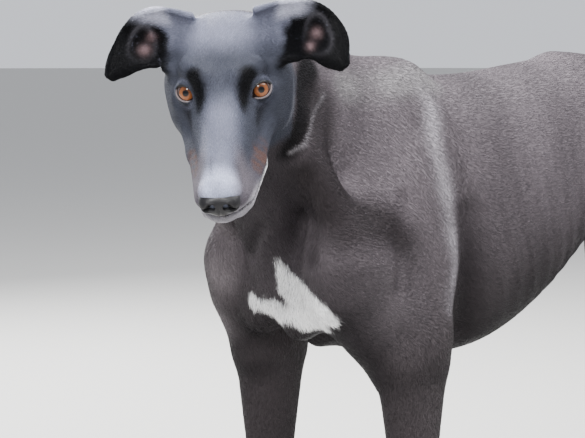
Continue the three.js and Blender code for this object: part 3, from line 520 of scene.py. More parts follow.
def ear_relief(h, s):
    """How far the sheet comes forward: the hollow of the ear, the ring of gristle round it and knobs inside."""
    middle, radii, knobs = EAR_BOWLS[s]
    flat = np.stack([s * h[:, 0], ear_axes(h)[0]], 1)
    v = (flat - middle) / radii
    a = np.arctan2(v[:, 1], v[:, 0])
    r = length(v) * (1 + 0.13 * np.sin(2 * a + 1.2) + 0.07 * np.sin(3 * a))
    ring = np.exp(-(((r - 1.1) / 0.17) ** 2)) * (0.55 + 0.45 * np.sin(a + 0.4 * s + 0.3))
    relief = -3.4 * smooth(r, 1.1, 0.35) + 1.8 * ring
    for x, rise, size in knobs:
        relief += 3.6 * np.exp(-((length(flat - (x, rise)) / size) ** 2))
    return relief, ring


def ear_sheet(h, s):
    """Distance to the sheet: each section across the ear is an arc of an oval, here in short straight pieces."""
    across = np.linspace(-1.3, 1.3, 15)
    v, side, before, half, curl, past = ear_place(h, s)
    before = before - ear_relief(h, s)[0]
    arc = np.stack([half[:, None] * np.sin(across), curl[:, None] * 1.3 * (1 - np.cos(across))], -1)
    step = np.diff(arc, axis=1)
    rel = np.stack([side, before], 1)[:, None] - arc[:, :-1]
    t = np.clip((rel * step).sum(-1) / np.maximum((step**2).sum(-1), 1e-6), 0, 1)
    away = length(rel - t[..., None] * step).min(1)
    thin = 0.25 * smooth(np.abs(side) / half, 0.7, 1) * smooth(v, 0.35, 0.6)
    wall = EAR_WALL / 2 * (1 + 0.9 * np.exp(-v * 5)) * (1 - thin)
    return np.hypot(away, past) - wall


# %% [markdown]
# All of it together is one field, and the skin is where it crosses zero. The coat has a depth of its own, so the
# skin is laid that much inside: less on the face, ears and paws, where the hair is shortest.

# %% The whole field
EAR_MELT = 14  # blending width between an ear and the skull


def above_lips(h):
    """Height of points over the line along which the lips meet."""
    return h[:, 2] - spread(LIP_LINE, h[:, 1])[:, 0]


def head_field(p):
    """The head's forms with the groove of the mouth sunk in them, melted with both ears."""
    h = to_head(p)
    d = melt(head_forms, h)
    groove = np.exp(-((above_lips(h) / 1.2) ** 2))
    d += 2.2 * groove * np.clip((-30 - h[:, 1]) / 8, 0, 1) * (np.abs(h[:, 0]) < 40)
    for s in (1, -1):
        near = np.flatnonzero(s * h[:, 0] > 18)
        if len(near):
            d[near] = meet(d[near], ear_sheet(h[near], s), EAR_MELT)
    return d * HEAD_SIZE


HEAD_MIDDLE = from_head([0, 0, -8])
body_forms = [
    *trunk_forms, *neck_forms, *foreleg_forms(1), *foreleg_forms(-1),
    ((head_field, HEAD_MIDDLE, 150), 24),
    *hindleg_forms(1), *hindleg_forms(-1), *tail_forms,
    *[form for knuckle, size in PAWS for form in paw_forms(knuckle, size)],
]


def coat_depth(p):
    """How deep the coat is, in millimetres: 1.5 on the body, 0.5 on head and legs, nothing on the ears."""
    h = to_head(p)
    on_head = smooth(-h[:, 1], -78, -30) * smooth(p[:, 2], 500, 540) * smooth(-p[:, 1], 110, 160)
    on_leg = 1 - smooth(p[:, 2], 250, 420)
    on_ear = smooth(np.abs(h[:, 0]) - 0.25 * h[:, 2], 40, 52) * (1 - smooth(length(h), 135, 160))
    return (1.5 - 1.0 * np.maximum(on_head, on_leg)) * (1 - on_ear)


GROOVES = [  # line on the left, width, depth, and how much further forward the right one is; 0 for none there
    ([(97, -157, 580), (79, -140, 542), (83, -140, 495)], 11, 6, 0),  # beside the windpipe
    ([(95, -20, 552), (109, -38, 506), (115, -42, 458)], 9, 3.5, 40),  # before the triceps
    ([(48, 62, 690), (72, 68, 656), (91, 68, 612), (98, 74, 563)], 11, 3.5, 24),  # behind the shoulder blade
    ([(97, 78, 530), (90, 84, 486), (77, 92, 440), (62, 97, 398)], 19, 9, 48),  # behind the elbow
    ([(36, -166, 528), (15, -161, 511), (-2, -154, 492)], 7, 4, 0),  # between breast and shoulder
    ([(112, -150, 640), (108, -168, 622), (100, -176, 606)], 8, 4, 0),  # behind the jaw
]
grooves = [([(s * x, y - (s < 0) * ahead, z) for x, y, z in path], width, depth)
           for path, width, depth, ahead in GROOVES for s in ((1, -1) if ahead else (1,))]


def bell(p, path, width):
    """1 on a line, and beside it the exponential of minus the squared distance in widths."""
    return np.exp(-((capsule(p, path) / width) ** 2))


def relief(p):
    """How far the skin sinks: bell-shaped grooves between muscles, and shallow waves over the ribs."""
    sunk = np.zeros(len(p))
    for line, width, depth in grooves:
        near = np.flatnonzero(length(p - np.mean(line, 0)) < 200)
        sunk[near] += depth * bell(p[near], line, width)
    x, y, z = p.T
    flank = smooth(np.abs(x), 30, 60) * smooth(y, 95, 130) * smooth(y, 340, 290)
    flank *= smooth(z, 400, 450) * smooth(z, 660, 600)
    return sunk + 0.8 * flank * (1 + np.cos((y + 0.35 * z) * 2 * np.pi / 28))


def flesh(p):
    """The whole field: all forms, sunk by the coat's depth and the relief, and cut level just over the floor."""
    return np.maximum(melt(body_forms, p) + coat_depth(p) + relief(p), 0.3 - p[:, 2])


print(len(body_forms), "forms; field at the withers", flesh(np.array([[0, 0, 690.0], [0, 0, 760.0]])).round(1))


# %% [markdown]
# The skin is a net: a grid of cells, one point in each cell that the surface passes through, and a face across
# each grid edge that it cuts. A dog's face needs cells of 2 mm and its flank is well served by 6, so the grid is
# looked at through lenses. A lens pulls the space around its centre together and leaves what is far away as it
# is, and one unbroken net comes out, finest on head, eyes and paws.

# %% Lenses
REACH = 3000  # millimetres covered by a lens's table
LENS_TABLE = [  # centre, core, ratio and the fastest step
    (HEAD_MIDDLE, 135, 0.3, 1.12),
    ((0, 645, 290), 130, 0.62, 1.2),  # tail and hocks
    *[((k[0], k[1] - 28, 22), 46, 0.42, 1.25) for k, _ in PAWS],
    *[(from_head([s * 78, 38, 28]), 56, 0.6, 1.15) for s in (1, -1)],
    *[(from_head([s * 33, -4, -1]), 14, 0.55, 1.2) for s in (1, -1)],
]


def lens(centre, core, ratio, fast):
    """Inside core the space shrinks by ratio. Beyond it each step is up to fast times as long, until the
    shrinking is caught up with."""
    s = np.arange(0.0, REACH, 1.0)
    start = core / ratio
    slope = ratio + (fast - ratio) * smooth(s, start * 0.85, start * 1.35)
    rho = np.concatenate([[0.0], np.cumsum(slope[:-1])])
    return centre, s, np.minimum(rho, s)


def through(q, glasses, back=False):
    """Where points of the grid are once they are seen through each lens in turn, or, back, the reverse."""
    for centre, s, rho in glasses:
        v = q - centre
        r = np.maximum(length(v), 1e-6)
        new = np.interp(r, rho, s) if back else np.interp(r, s, rho)
        q = centre + v * (new / r)[:, None]
    return q


lenses = []  # the last one is made first, and the centre of each is carried back through those after it
for centre, *form in LENS_TABLE[::-1]:
    lenses.append(lens(through(np.array([centre], float), lenses, back=True)[0], *form))
lenses.reverse()


def lattice(*axes):
    """Every combination of one value from each axis, as rows; the last axis runs fastest."""
    return np.stack(np.meshgrid(*axes, indexing="ij"), -1).reshape(-1, len(axes))


def solid_corners(margin=12):
    """The corners of each solid's box, in modelling millimetres, with a margin all round."""
    boxes = [np.array(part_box(name)) / MM + CENTRE + [[-margin], [margin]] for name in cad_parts]
    return np.concatenate([lattice(*box.T) for box in boxes])


reach = through(solid_corners(), lenses[::-1], back=True)
print("the grid spans", (reach.max(0) - reach.min(0)).round(0), "mm through the lenses")


# %% [markdown]
# Most of the grid is far from the skin. The field is first asked at the middle of each block of 4 x 4 x 4 cells,
# and only blocks that the surface may pass through are worked out in full.

# %% The field on the grid
STEP = 8.4
BLOCK = 4  # cells along the side of a block
FAR = 9  # stands for any distance in blocks without skin


def grid_values(low, count):
    """Field values on the grid's points, a far sign alone where the surface can't be."""
    blocks = lattice(*[np.arange(n // BLOCK) for n in count])
    middle = low + (blocks * BLOCK + (BLOCK - 1) / 2) * STEP
    p = through(middle, lenses)
    rim = [through(middle + STEP * BLOCK / 2 * np.array(way), lenses) for way in
           ((1, 1, 1), (-1, 1, 1), (1, -1, 1), (1, 1, -1), (-1, -1, -1))]
    radius = np.max([length(corner - p) for corner in rim], 0)
    d = flesh(p)
    values = np.kron(np.sign(d).reshape(count // BLOCK), np.full([BLOCK] * 3, FAR)).astype(np.float32)
    close = blocks[np.abs(d) < radius * 1.35 + 3] * BLOCK
    spots = (close[:, None] + lattice(*[np.arange(BLOCK)] * 3)).reshape(-1, 3)
    values[tuple(spots.T)] = flesh(through(low + spots * STEP, lenses))
    print(len(blocks), "blocks,", len(close), "near the skin,", len(spots), "points worked out")
    return values


def unpinch(values):
    """Where two inside corners of a grid square meet only across it, the corner nearest the surface changes
    sides."""
    flips = 0
    for _ in range(12):
        found = 0
        for a, b in ((0, 1), (1, 2), (0, 2)):
            inside = values < 0
            offsets = np.zeros((4, 3), int)
            offsets[[1, 2], a] = 1
            offsets[[2, 3], b] = 1
            end = np.array(values.shape) - np.eye(3, dtype=int)[[a, b]].sum(0)
            s = [inside[tuple(slice(o, o + n) for o, n in zip(offset, end))] for offset in offsets]
            spots = np.argwhere((s[0] == s[2]) & (s[1] == s[3]) & (s[0] != s[1]))
            if not len(spots):
                continue
            corners = spots[:, None] + offsets
            at = values[tuple(corners.reshape(-1, 3).T)].reshape(-1, 4)
            rows, pick = np.arange(len(spots)), np.abs(at).argmin(1)
            values[tuple(corners[rows, pick].T)] = np.where(at[rows, pick] < 0, 0.4, -0.4)
            found += len(spots)
        flips += found
        if not found:
            break
    print(flips, "corners changed sides")
    return values


# %% [markdown]
# Each point of the net starts at the mean of the places where the cell's edges are cut. It is then moved straight
# down the field's slope until the field is zero, and eased sideways towards its neighbours, so that the faces
# come out even.

# %% The net
def slope_of_flesh(p, step=0.35):
    """Field and its gradient by four readings at the corners of a small tetrahedron."""
    ways = np.array([[1, -1, -1], [-1, -1, 1], [-1, 1, -1], [1, 1, 1]], float)
    reads = flesh((p[:, None] + ways * step).reshape(-1, 3)).reshape(-1, 4)
    return reads.mean(1), (reads @ ways) / (4 * step)


def settle(p, most, rounds=2):
    """Points moved down the slope to the surface, no further than most from where they start."""
    start = p
    for _ in range(rounds):
        value, slope = slope_of_flesh(p)
        moved = p - slope * (value / np.maximum((slope**2).sum(1), 0.05))[:, None] - start
        p = start + moved * np.minimum(1, most / np.maximum(length(moved), 1e-9))[:, None]
    return p


def make_net(values, low):
    """Points and four-sided faces of the zero surface, faces turned out, and the size of each point's cell."""
    inside = values < 0
    count = np.array(values.shape)
    corners = lattice(*[(0, 1)] * 3)
    total = sum(inside[tuple(slice(c, n - 1 + c) for c, n in zip(corner, count))].astype(np.int8)
                for corner in corners)
    cells = np.argwhere((total > 0) & (total < 8))
    number = np.full(count, -1, np.int32)
    number[tuple(cells.T)] = np.arange(len(cells))
    spots = (cells[:, None] + corners).reshape(-1, 3)
    at = values[tuple(spots.T)].reshape(-1, 8).astype(float)
    where = through(low + spots * STEP, lenses).reshape(-1, 8, 3)
    total, hits = np.zeros((len(cells), 3)), np.zeros(len(cells))
    for a, b in [(a, b) for a, b in lattice(range(8), range(8)) if a < b]:
        if np.abs(corners[a] - corners[b]).sum() == 1:
            cut = (at[:, a] < 0) != (at[:, b] < 0)
            t = np.where(cut, at[:, a] / np.where(cut, at[:, a] - at[:, b], 1), 0)
            total += np.where(cut[:, None], where[:, a] + (where[:, b] - where[:, a]) * t[:, None], 0)
            hits += cut
    points = total / hits[:, None]
    size = length(where[:, 7] - where[:, 0]) / math.sqrt(3)
    faces = []
    for axis in range(3):
        u, v = (axis + 1) % 3, (axis + 2) % 3
        here, there = [slice(None)] * 3, [slice(None)] * 3
        here[axis], there[axis] = slice(None, -1), slice(1, None)
        first = inside[tuple(here)]
        edges = np.argwhere(first != inside[tuple(there)])
        ring = []
        for du, dv in ((1, 1), (0, 1), (0, 0), (1, 0)):
            cell = edges.copy()
            cell[:, u] -= du
            cell[:, v] -= dv
            ring.append(number[tuple(cell.T)])
        ring = np.stack(ring, 1)
        faces.append(np.where(first[tuple(edges.T)][:, None], ring, ring[:, ::-1]))
    return points, np.concatenate(faces), size


def even_out(points, faces, size, rounds=2):
    """Each point goes halfway to the mean of its neighbours, along the surface only, and settles again."""
    edges = np.concatenate([faces[:, [i, (i + 1) % 4]] for i in range(4)])
    here, there = np.concatenate([edges, edges[:, ::-1]]).T
    degree = np.bincount(here, minlength=len(points))
    for _ in range(rounds):
        mean = np.stack([np.bincount(here, points[there, c], len(points)) for c in range(3)], 1) / degree[:, None]
        normal = unit(slope_of_flesh(points)[1])
        shift = (mean - points) * 0.5
        shift -= (shift * normal).sum(1)[:, None] * normal
        points = settle(points + shift, size * 0.6, 1)
    return points


MARGIN = 4 * STEP  # empty grid round the dog
low = np.floor(reach.min(0)) - MARGIN
count = (np.ceil((reach.max(0) + MARGIN - low) / STEP / BLOCK).astype(int)) * BLOCK
skin_points, skin_faces, cell_size = make_net(unpinch(grid_values(low, count)), low)
print("net of", len(skin_points), "points and", len(skin_faces), "faces")
skin_points = even_out(settle(skin_points, cell_size * 1.2), skin_faces, cell_size)
skin_normals = unit(slope_of_flesh(skin_points)[1])
print("box", skin_points.min(0).round(0), skin_points.max(0).round(0))


# %% [markdown]
# Points and faces go into a mesh as whole arrays. A finished piece's object stays at the origin, so the row's
# frame is put into the points themselves.

# %% From arrays to a mesh
def make_piece(name, points, faces):
    """A mesh object from points in millimetres and faces that all have the same number of corners."""
    mesh = bpy.data.meshes.new(name)
    mesh.vertices.add(len(points))
    mesh.vertices.foreach_set("co", ((points - CENTRE) * MM).astype(np.float32).ravel())
    mesh.loops.add(faces.size)
    mesh.loops.foreach_set("vertex_index", faces.astype(np.int32).ravel())
    mesh.polygons.add(len(faces))
    mesh.polygons.foreach_set("loop_start", np.arange(0, faces.size, faces.shape[1], dtype=np.int32))
    mesh.polygons.foreach_set("use_smooth", np.full(len(faces), True))
    mesh.update(calc_edges=True)
    piece = bpy.data.objects.new(name, mesh)
    bpy.context.scene.collection.objects.link(piece)
    return piece


def paint(piece, colours):
    """A colour for each point of the mesh, kept as an attribute that a material can read."""
    layer = piece.data.attributes.new("tone", "FLOAT_COLOR", "POINT")
    rgba = np.concatenate([colours, np.ones((len(colours), 1))], 1)
    layer.data.foreach_set("color", rgba.astype(np.float32).ravel())


FLESH_NODES = ["torso", "neck", "head", "tail"] + [
    f"{part}_{side}" for side in ("left", "right")
    for part in ("thigh", "ear", "forearm", "front_pastern", "shank", "rear_pastern", "front_paw", "rear_paw")]
skin = make_piece("skin", skin_points, skin_faces)
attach(skin, "root")
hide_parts(*FLESH_NODES)


# %% [markdown]
# Where the colours are, and the painted light and shade. A black greyhound isn't one black: the lips are rusty,
# the ears are velvet black, the back is brownish and the chest has a white mark. The face is black hair with a
# painted blue-grey reflection of the sky, the spots at the inner corners of the eyes are darker hair with painted
# shadow, and the muzzle is frosted, with painted sheen over it. Painted shade darkens the undersides, grooves,
# hollows, a band behind the jaw and the front of the neck; painted highlights lie on the back, shoulder, nape, a
# neck fold, the cheek's edge, forehead, bridge and ears. Each mark is a soft shape in the dog's own space, so skin
# and hair agree.

# %% Markings, painted light and shade
CHEST_MARK = [
    ([(29, -141, 486), (38, -138, 466)], [4, 9]),
    ([(40, -136, 462), (60, -134, 452), (84, -128, 438), (94, -118, 429)], [12, 16, 14, 7]),
    ([(54, -124, 430), (74, -116, 424)], [15, 11]),
    ([(-16, -138, 438), (8, -138, 434), (40, -134, 432)], [8, 9, 12]),
]
BODY = (0.040, 0.034, 0.036)
# lighter brown of the upper body: the coat's own sun-faded tone, with painted sheen from the light above
BACK_TONE_AND_SHEEN = (0.108, 0.093, 0.103)
# the face's black hair with a painted blue-grey reflection of the sky
FACE = (0.038, 0.041, 0.055)
# painted sheen, blue-grey, for the lit top of the head and the bridge
FOREHEAD_SHEEN = (0.145, 0.152, 0.205)
# frosted muzzle: paler hair, with painted sheen over it
FROST_AND_SHEEN = (0.370, 0.395, 0.520)
BLACK = (0.0020, 0.0020, 0.0026)
VELVET = (0.0026, 0.0026, 0.0032)
# painted sheen on the crowns of the folded ears
EAR_CROWN_SHEEN = (0.440, 0.445, 0.540)
RUST = (0.076, 0.042, 0.035)
PALE = (0.300, 0.285, 0.310)
WHITE = (0.930, 0.925, 0.930)


def ripple(p, size, seed=0):
    """A smooth random number from -1 to 1 over space: a sum of sines along fixed odd directions."""
    total = np.zeros(len(p))
    for i in range(5):
        way = np.sin(np.array([1.3, 4.1, 7.7]) * (i + 1 + seed)) + 0.2
        total += np.sin(p @ (way / size * 2.4) + 1.9 * i + seed)
    return total / 3


def blend(colours, mask, tint):
    """Colours moved towards a tint by the share that the mask gives."""
    return colours + (np.array(tint) - colours) * np.clip(mask, 0, 1)[:, None]


def patch(p, path, radii, outer, inner):
    """A soft mask round a chain: 0 at the distance outer from it and 1 at inner."""
    return smooth(capsule(p, path, radii), outer, inner)


def folded(p):
    """All points brought to the left side."""
    return np.stack([np.abs(p[:, 0]), p[:, 1], p[:, 2]], 1)


def head_share(h):
    """1 on the head, 0 on the neck: behind the jaw and beyond the cheeks."""
    x, y, z = folded(h).T
    before = smooth(64 + 0.7 * np.clip(z, 0, 34) - y, -12, 12) * smooth(z + 0.45 * (62 - y), -64, -50)
    beyond = smooth(x - 0.2 * z, 69, 73) * (z < 12)
    return before * (1 - beyond) * (length(h) < 190)


def ear_share(h):
    """1 on the free part of the ears, 0 on the skull."""
    share = np.zeros(len(h))
    for s in (1, -1):
        near = np.flatnonzero((s * h[:, 0] > 30) & (length(h - (s * 74, 12, 34)) < 110))
        share[near] = smooth(ear_sheet(h[near], s), 4.5, 2.0)
    return share * smooth(np.abs(h[:, 0]) - 0.25 * h[:, 2], 36, 46)


def marks_and_painted_light(p, normals):
    """Linear colour of the coat at each point, markings with painted light and shade: tints laid over each other,
    each through a soft mask.
    """
    h, mirrored = to_head(p), folded(p)
    left = folded(h)
    x, y, z = left.T
    face = head_share(h)
    near = length(h) < 165
    colours = np.tile(BODY, (len(p), 1))

    def lay(mask, tint):
        nonlocal colours
        colours = blend(colours, mask, tint)

    # The upper body lighter and browner: partly the coat's own faded tone, partly painted sheen from above.
    lay(smooth(p[:, 2] + 45 * ripple(p, 110), 380, 620) * 0.9, BACK_TONE_AND_SHEEN)
    lay(smooth(-normals[:, 2], -0.15, 0.7) * 0.75, (0.010, 0.0085, 0.0095))  # painted shade on the undersides
    # Painted shade in the grooves between the muscles.
    for line, width, depth in grooves:
        lay(bell(p, line, width * 0.9) * min(depth / 7, 1) * 0.75, (0.010, 0.008, 0.009))
    colours *= 1 + 0.18 * ripple(p * (1, 1, 0.5), 46, 3)[:, None]
    # Painted shadow: near black in a band behind the jaw and under the throat.
    shadow_behind_jaw = smooth(np.minimum(
        capsule(left, [(78, 88, -46), (68, 54, -56), (63, 36, -72), (52, 20, -94)], [20, 21, 17, 12]),
        capsule(left, [(0, 44, -92), (0, 0, -84)], [30, 22])), 7, -9)
    lay(shadow_behind_jaw * 0.97, (0.0022, 0.0018, 0.0022))
    # Painted highlight: a light sheen line down the shoulder and the upper arm.
    sheen = bell(p, [(44, 33, 692), (64, 46, 656), (86, 35, 612), (99, 34, 570), (100, 46, 522), (96, 58, 480),
                     (98, 46, 433)], 12)
    lay(sheen * (0.6 + 0.3 * ripple(p, 24, 8)), (0.300, 0.280, 0.305))
    # Painted light on the far foreleg's upper arm.
    far_arm_light = patch(p, [(-62, -140, 526), (-68, -146, 470), (-84, -120, 410)], [10, 12, 8], 26, -12)
    lay(far_arm_light * (0.6 + 0.3 * ripple(p, 26, 7)), (0.160, 0.140, 0.148))
    # Painted highlight along the top of the neck.
    nape_highlight = patch(mirrored, [(62, -80, 672), (54, 0, 678), (50, 60, 684)], [10, 12, 12], 22, -8)
    lay(nape_highlight * (0.6 + 0.3 * ripple(p, 30, 9)) * (1 - shadow_behind_jaw), (0.210, 0.200, 0.205))
    # Painted shade, near black-brown, over the front of the neck and the shoulders.
    front = [(86, -128, 650), (104, -142, 590), (108, -112, 537), (101, -50, 526), (97, -26, 508)]
    front = patch(mirrored, front, [20, 24, 24, 16, 10], 26, -8)
    lay(front * (0.86 + 0.12 * ripple(p, 40, 2)), (0.019, 0.0155, 0.0165))
    # Painted highlight: a thin light line along a fold of skin on the neck.
    fold = bell(p, [(81, -119, 667), (100, -151, 642), (105, -164, 617), (96, -177, 609)], 2.6)
    lay(fold * 0.8, (0.15, 0.14, 0.15))

    # The face: black hair tinted blue-grey, a painted reflection of the sky.
    lay(face, FACE)
    # Painted sheen on the top of the head, lit by the sky.
    lay(face * smooth(z + 0.5 * y, 26, 54), FOREHEAD_SHEEN)
    # Painted sheen along the bridge of the nose.
    bridge_sheen = smooth(x, 24, 8) * smooth(z + 0.1 * y, -34, -20) * smooth(y, 0, -30)
    bridge_sheen *= 0.15 + 0.62 * smooth(y, -12, -50)
    lay(face * bridge_sheen * (1 + 0.25 * ripple(h, 22, 6)), FOREHEAD_SHEEN)
    # The frosted muzzle: paler hair with painted sheen over it, lightest near the nose.
    frost_and_sheen = smooth(length((h - (0, -121, -20)) / (25, 17, 13)), 1.6, 0.45)
    lay(frost_and_sheen * (0.9 + 0.15 * ripple(h, 12, 2)), FROST_AND_SHEEN)
    lay(smooth(y, -62, -92) * smooth(x, 8, 20) * face * 0.55, (0.125, 0.105, 0.118))  # sides of the muzzle
    rust = smooth(length((h - (34, -54, -42)) / (15, 26, 15)), 1.1, 0.6)
    rust += patch(h, [(-32, -50, -42), (-24, -80, -34)], [7, 6], 5, -3) * 0.9
    lay(rust * (0.5 + 0.9 * ripple(h, 4, 1)), RUST)
    lay(smooth(z + 0.12 * (y + 100), -46, -53) * smooth(y, -60, -92) * 0.8 * near, PALE)  # lips
    lay(smooth(z, -54, -60) * smooth(y, -52, -72) * 0.85 * near, PALE)  # chin
    flew = patch(h, [(38, -42, -58), (33, -62, -62), (25, -92, -64)], [3, 4, 4], 3, -2)
    lay(flew * 0.7 * (0.75 + 0.5 * ripple(h, 5, 2)), WHITE)
    lay(bell(h, [(-7, -94, -11), (-7, -114, -14)], 1.6) * 0.6, (0.05, 0.05, 0.065))  # painted shade in a crease on the bridge
    # Black at the inner corners of the eyes: darker hair, with painted shadow of the hollow there.
    lay(patch(left, [(26, -7, 17), (23, -15, 10), (20, -24, 2), (19, -32, -4)], [9, 8.5, 6, 3], 5, -4), BLACK)
    # Painted shade in the hollow before the eye.
    hollow = patch(left, [(36, -7, -17), (33, -14, -19), (29, -26, -23)], [6, 6, 4], 4, -4)
    lay(hollow * 0.85, (0.010, 0.010, 0.013))
    # The outer side of a ring round the eye, lightened with painted sheen.
    centre, _, _, forward = eye_frame(1)
    around_eye = np.abs(length(left - centre - forward * 8) - 13.5)
    lay(smooth(around_eye, 3.5, 0) * 0.35 * smooth(x, 24, 34), FOREHEAD_SHEEN)
    # Painted rim light: a thin light line along the edge of the cheek and jaw.
    cheek_rim_light = patch(left, [(61, 54, -16), (62, 42, -30), (61, 31, -46), (57, 20, -58), (48, 4, -66)], 1, 3, -0.5)
    lay(cheek_rim_light * 0.7, (0.150, 0.156, 0.180))
    # Painted shade in the groove of the mouth.
    lay(smooth(np.abs(above_lips(h)), 1.5, 0.5) * (y < -32) * (x < 40) * near, (0.008, 0.007, 0.008))

    free, rise = ear_share(h), ear_axes(h)[0]
    back = smooth(-ear_axes(normals @ HEAD_TURN)[1], 0.0, 0.6)
    ear = free * smooth(x - 0.25 * z + 3 * ripple(h, 9, 4), 45, 55)
    lay(ear, VELVET)
    # Painted sheen on the backs of the ears.
    lay(ear * back, (0.070, 0.070, 0.088))
    # Painted sheen on the crowns of the folded ears.
    crown_sheen = smooth(rise - 0.1 * x, 52, 64) * smooth(x, 92, 70) * (y + z > 20)
    lay(free * crown_sheen, EAR_CROWN_SHEEN)
    for s in (1, -1):
        inside = ear * (1 - back) * (s * h[:, 0] > 0)
        lay(inside * ear_relief(h, s)[1] * 0.7, (0.060, 0.057, 0.066))
        for a, b, size in EAR_BOWLS[s][2]:
            knob = np.exp(-(((x - a) ** 2 + (rise - b) ** 2) / size**2))
            lay(inside * knob * 0.9, (0.150, 0.100, 0.105))

    ragged = 2.5 * ripple(p, 9, 5)
    for path, radii in CHEST_MARK:
        lay(smooth(capsule(p, path, radii) + ragged, 3, -2), WHITE)
    lay(smooth(p[:, 2], 26, 8) * smooth(ripple(p, 16, 4), 0.1, 0.9) * 0.25, PALE)  # toes
    return np.maximum(colours, 0.0015)


skin_colours = marks_and_painted_light(skin_points, skin_normals)
sole = smooth(skin_points[:, 2], 4, 1)
# The skin between the tufts is painted darker than the hair, as shade down in the coat; the soles are dark.
paint(skin, blend(skin_colours * 0.85, sole, (0.018, 0.016, 0.016)))
print("painted", len(skin_colours), "points of the skin")


# %% [markdown]
# Which way the hair lies. Real hair runs back along the head and neck, down the shoulder and the legs, and along
# the tail. Each stroke below is a line through the body with the direction from its start to its end. A point
# takes the mean of the strokes near it, laid flat on the skin.

# %% Lie of the coat
def strokes():
    """Start, end and width of each stroke."""
    made = [
        (from_head([0, -135, -30]), from_head([0, 95, 6]), 42),
        (from_head([0, 60, -4]), (0, 30, 680), 60), (from_head([0, 40, -60]), (0, -120, 500), 46),
        ((0, -40, 600), (0, 60, 500), 70), ((0, -135, 500), (0, -96, 390), 46),
        ((0, 20, 690), (0, 560, 640), 70), ((0, 80, 520), (0, 420, 500), 90), ((0, 30, 400), (0, 380, 500), 60),
        ((0, 480, 660), (0, 560, 600), 50),
    ]
    cos, sin = math.cos(EAR_TILT), math.sin(EAR_TILT)
    for s in (1, -1):
        shoulder, elbow, wrist, knuckle = FORELEGS[s]
        hip, knee, hock, heel = HINDLEGS[s]
        made += [
            ((s * 60, 10, 670), elbow + (0, 60, 60), 46), (shoulder, elbow + (0, 60, 20), 40), (elbow, wrist, 34),
            (wrist, knuckle, 24), (knuckle, knuckle + (0, -62, -30), 30),
            (hip + (0, -30, 60), knee, 60), (hip + (0, 60, 0), hock, 46), (knee, hock, 34),
            (hock, heel, 24), (heel, heel + (0, -60, -30), 30),
        ]
        line = from_head([[s * x, up * sin - ahead * cos, up * cos + ahead * sin] for x, up, ahead, *_ in EARS[s]])
        made += [(a, b, 20) for a, b in zip(line, line[1:])]
    made += [(a[:3], b[:3], 24) for a, b in zip(TAIL, TAIL[1:])]
    return made


def lie(p, normals):
    """Unit direction of the hair at each point, along the skin."""
    flow = np.zeros_like(p)
    for a, b, width in strokes():
        flow += bell(p, [a, b], width)[:, None] * unit(np.subtract(b, a))
    flow += (0, 0, -1e-3)
    return unit(flow - (flow * normals).sum(1)[:, None] * normals)


# %% [markdown]
# The coat itself. Short hair that lies flat is made of many thin closed slivers: a root sunk in the skin, two
# shoulders just above it and a tip. Four corners and four faces each keep a third of a million of them light.
# They are longest on trunk and chest and smallest on the face and paws, and none grow where skin is bare.

# %% Sizes of the hair
def hair_size(p, h):
    """Length, width and lift of a tuft, and how much of the skin tufts cover, at each point."""
    face = head_share(h)
    leg = 1 - smooth(p[:, 2], 240, 440)
    paw = 1 - smooth(p[:, 2], 60, 110)
    white = smooth(np.min([capsule(p, path, radii) for path, radii in CHEST_MARK], 0), 3, -3)
    long = 8.5 - 2.5 * leg - 1.8 * paw
    long += (4.4 - long) * face
    long += (3.8 - long) * ear_share(h)
    long -= 1.2 * smooth(h[:, 1], -60, -105) * face  # muzzle
    long += 2.5 * white
    return long, 0.14 + 0.058 * long, 0.030 + 0.11 * white, 0.75 + 0.6 * white + 0.4 * face


def bare(p, h):
    """True where no hair grows: soles, nose, eyes and the groove between the lips."""
    found = (p[:, 2] < 5) | (melt(nose_forms, h) < 0.6)
    for s in (1, -1):
        centre, _, _, forward = eye_frame(s)
        v = h - centre
        found |= (opening(s)[0](h) < 1.3) & (v @ forward > 0) | (length(v) < EYE_BALL + 0.4)
    return found | (np.abs(above_lips(h)) < 1.0) & (h[:, 1] < -34) & (np.abs(h[:, 0]) < 34)


# %% [markdown]
# Tufts are planted over the skin's triangles, more of them where each covers less. Every tuft also gets a small
# square on a flat sheet, where its colour can be stored: the nearest of twelve axes through trunk and limbs
# names a tile of the sheet, and the turn about that axis and the way along it give the place in the tile.

# %% Planting
skin_triangles = np.concatenate([skin_faces[:, [0, 1, 2]], skin_faces[:, [0, 2, 3]]])
corner = skin_points[skin_triangles]
triangle_area = 0.5 * length(np.cross(corner[:, 1] - corner[:, 0], corner[:, 2] - corner[:, 0]))
triangle_middle = corner.mean(1)
middle_head = to_head(triangle_middle)
TUFT_MOST = 49500  # four faces each, so a piece has at most 198,000 triangles; four faces each, under the limit for one piece
TUFT_FACES = np.array([[0, 2, 1], [1, 2, 3], [0, 1, 3], [0, 3, 2]])  # of the root, two shoulders and the tip
SUNK = 0.45  # millimetres from a root up to the skin
PATCH = np.array([[-1, -1], [1, -1], [1, 1], [-1, 1]]) * 0.0015  # a tuft's square on the sheet


def leg_axes(s):
    """Axes through the upper and the lower part of a foreleg and a hind leg."""
    _, elbow, wrist, knuckle = FORELEGS[s]
    hip, _, hock, heel = HINDLEGS[s]
    return [(elbow, wrist), (wrist, (knuckle[0], -100, 0)), (hip, hock), (hock, (heel[0], 560, 0))]


UNWRAP = [
    (from_head([0, -140, -40]), from_head([0, 90, -20])), (from_head([0, 60, -20]), (0, 0, 560)),
    ((0, -60, 540), (0, 560, 600)), *leg_axes(1), *leg_axes(-1), (TAIL[2][:3], TAIL[-1][:3]),
]


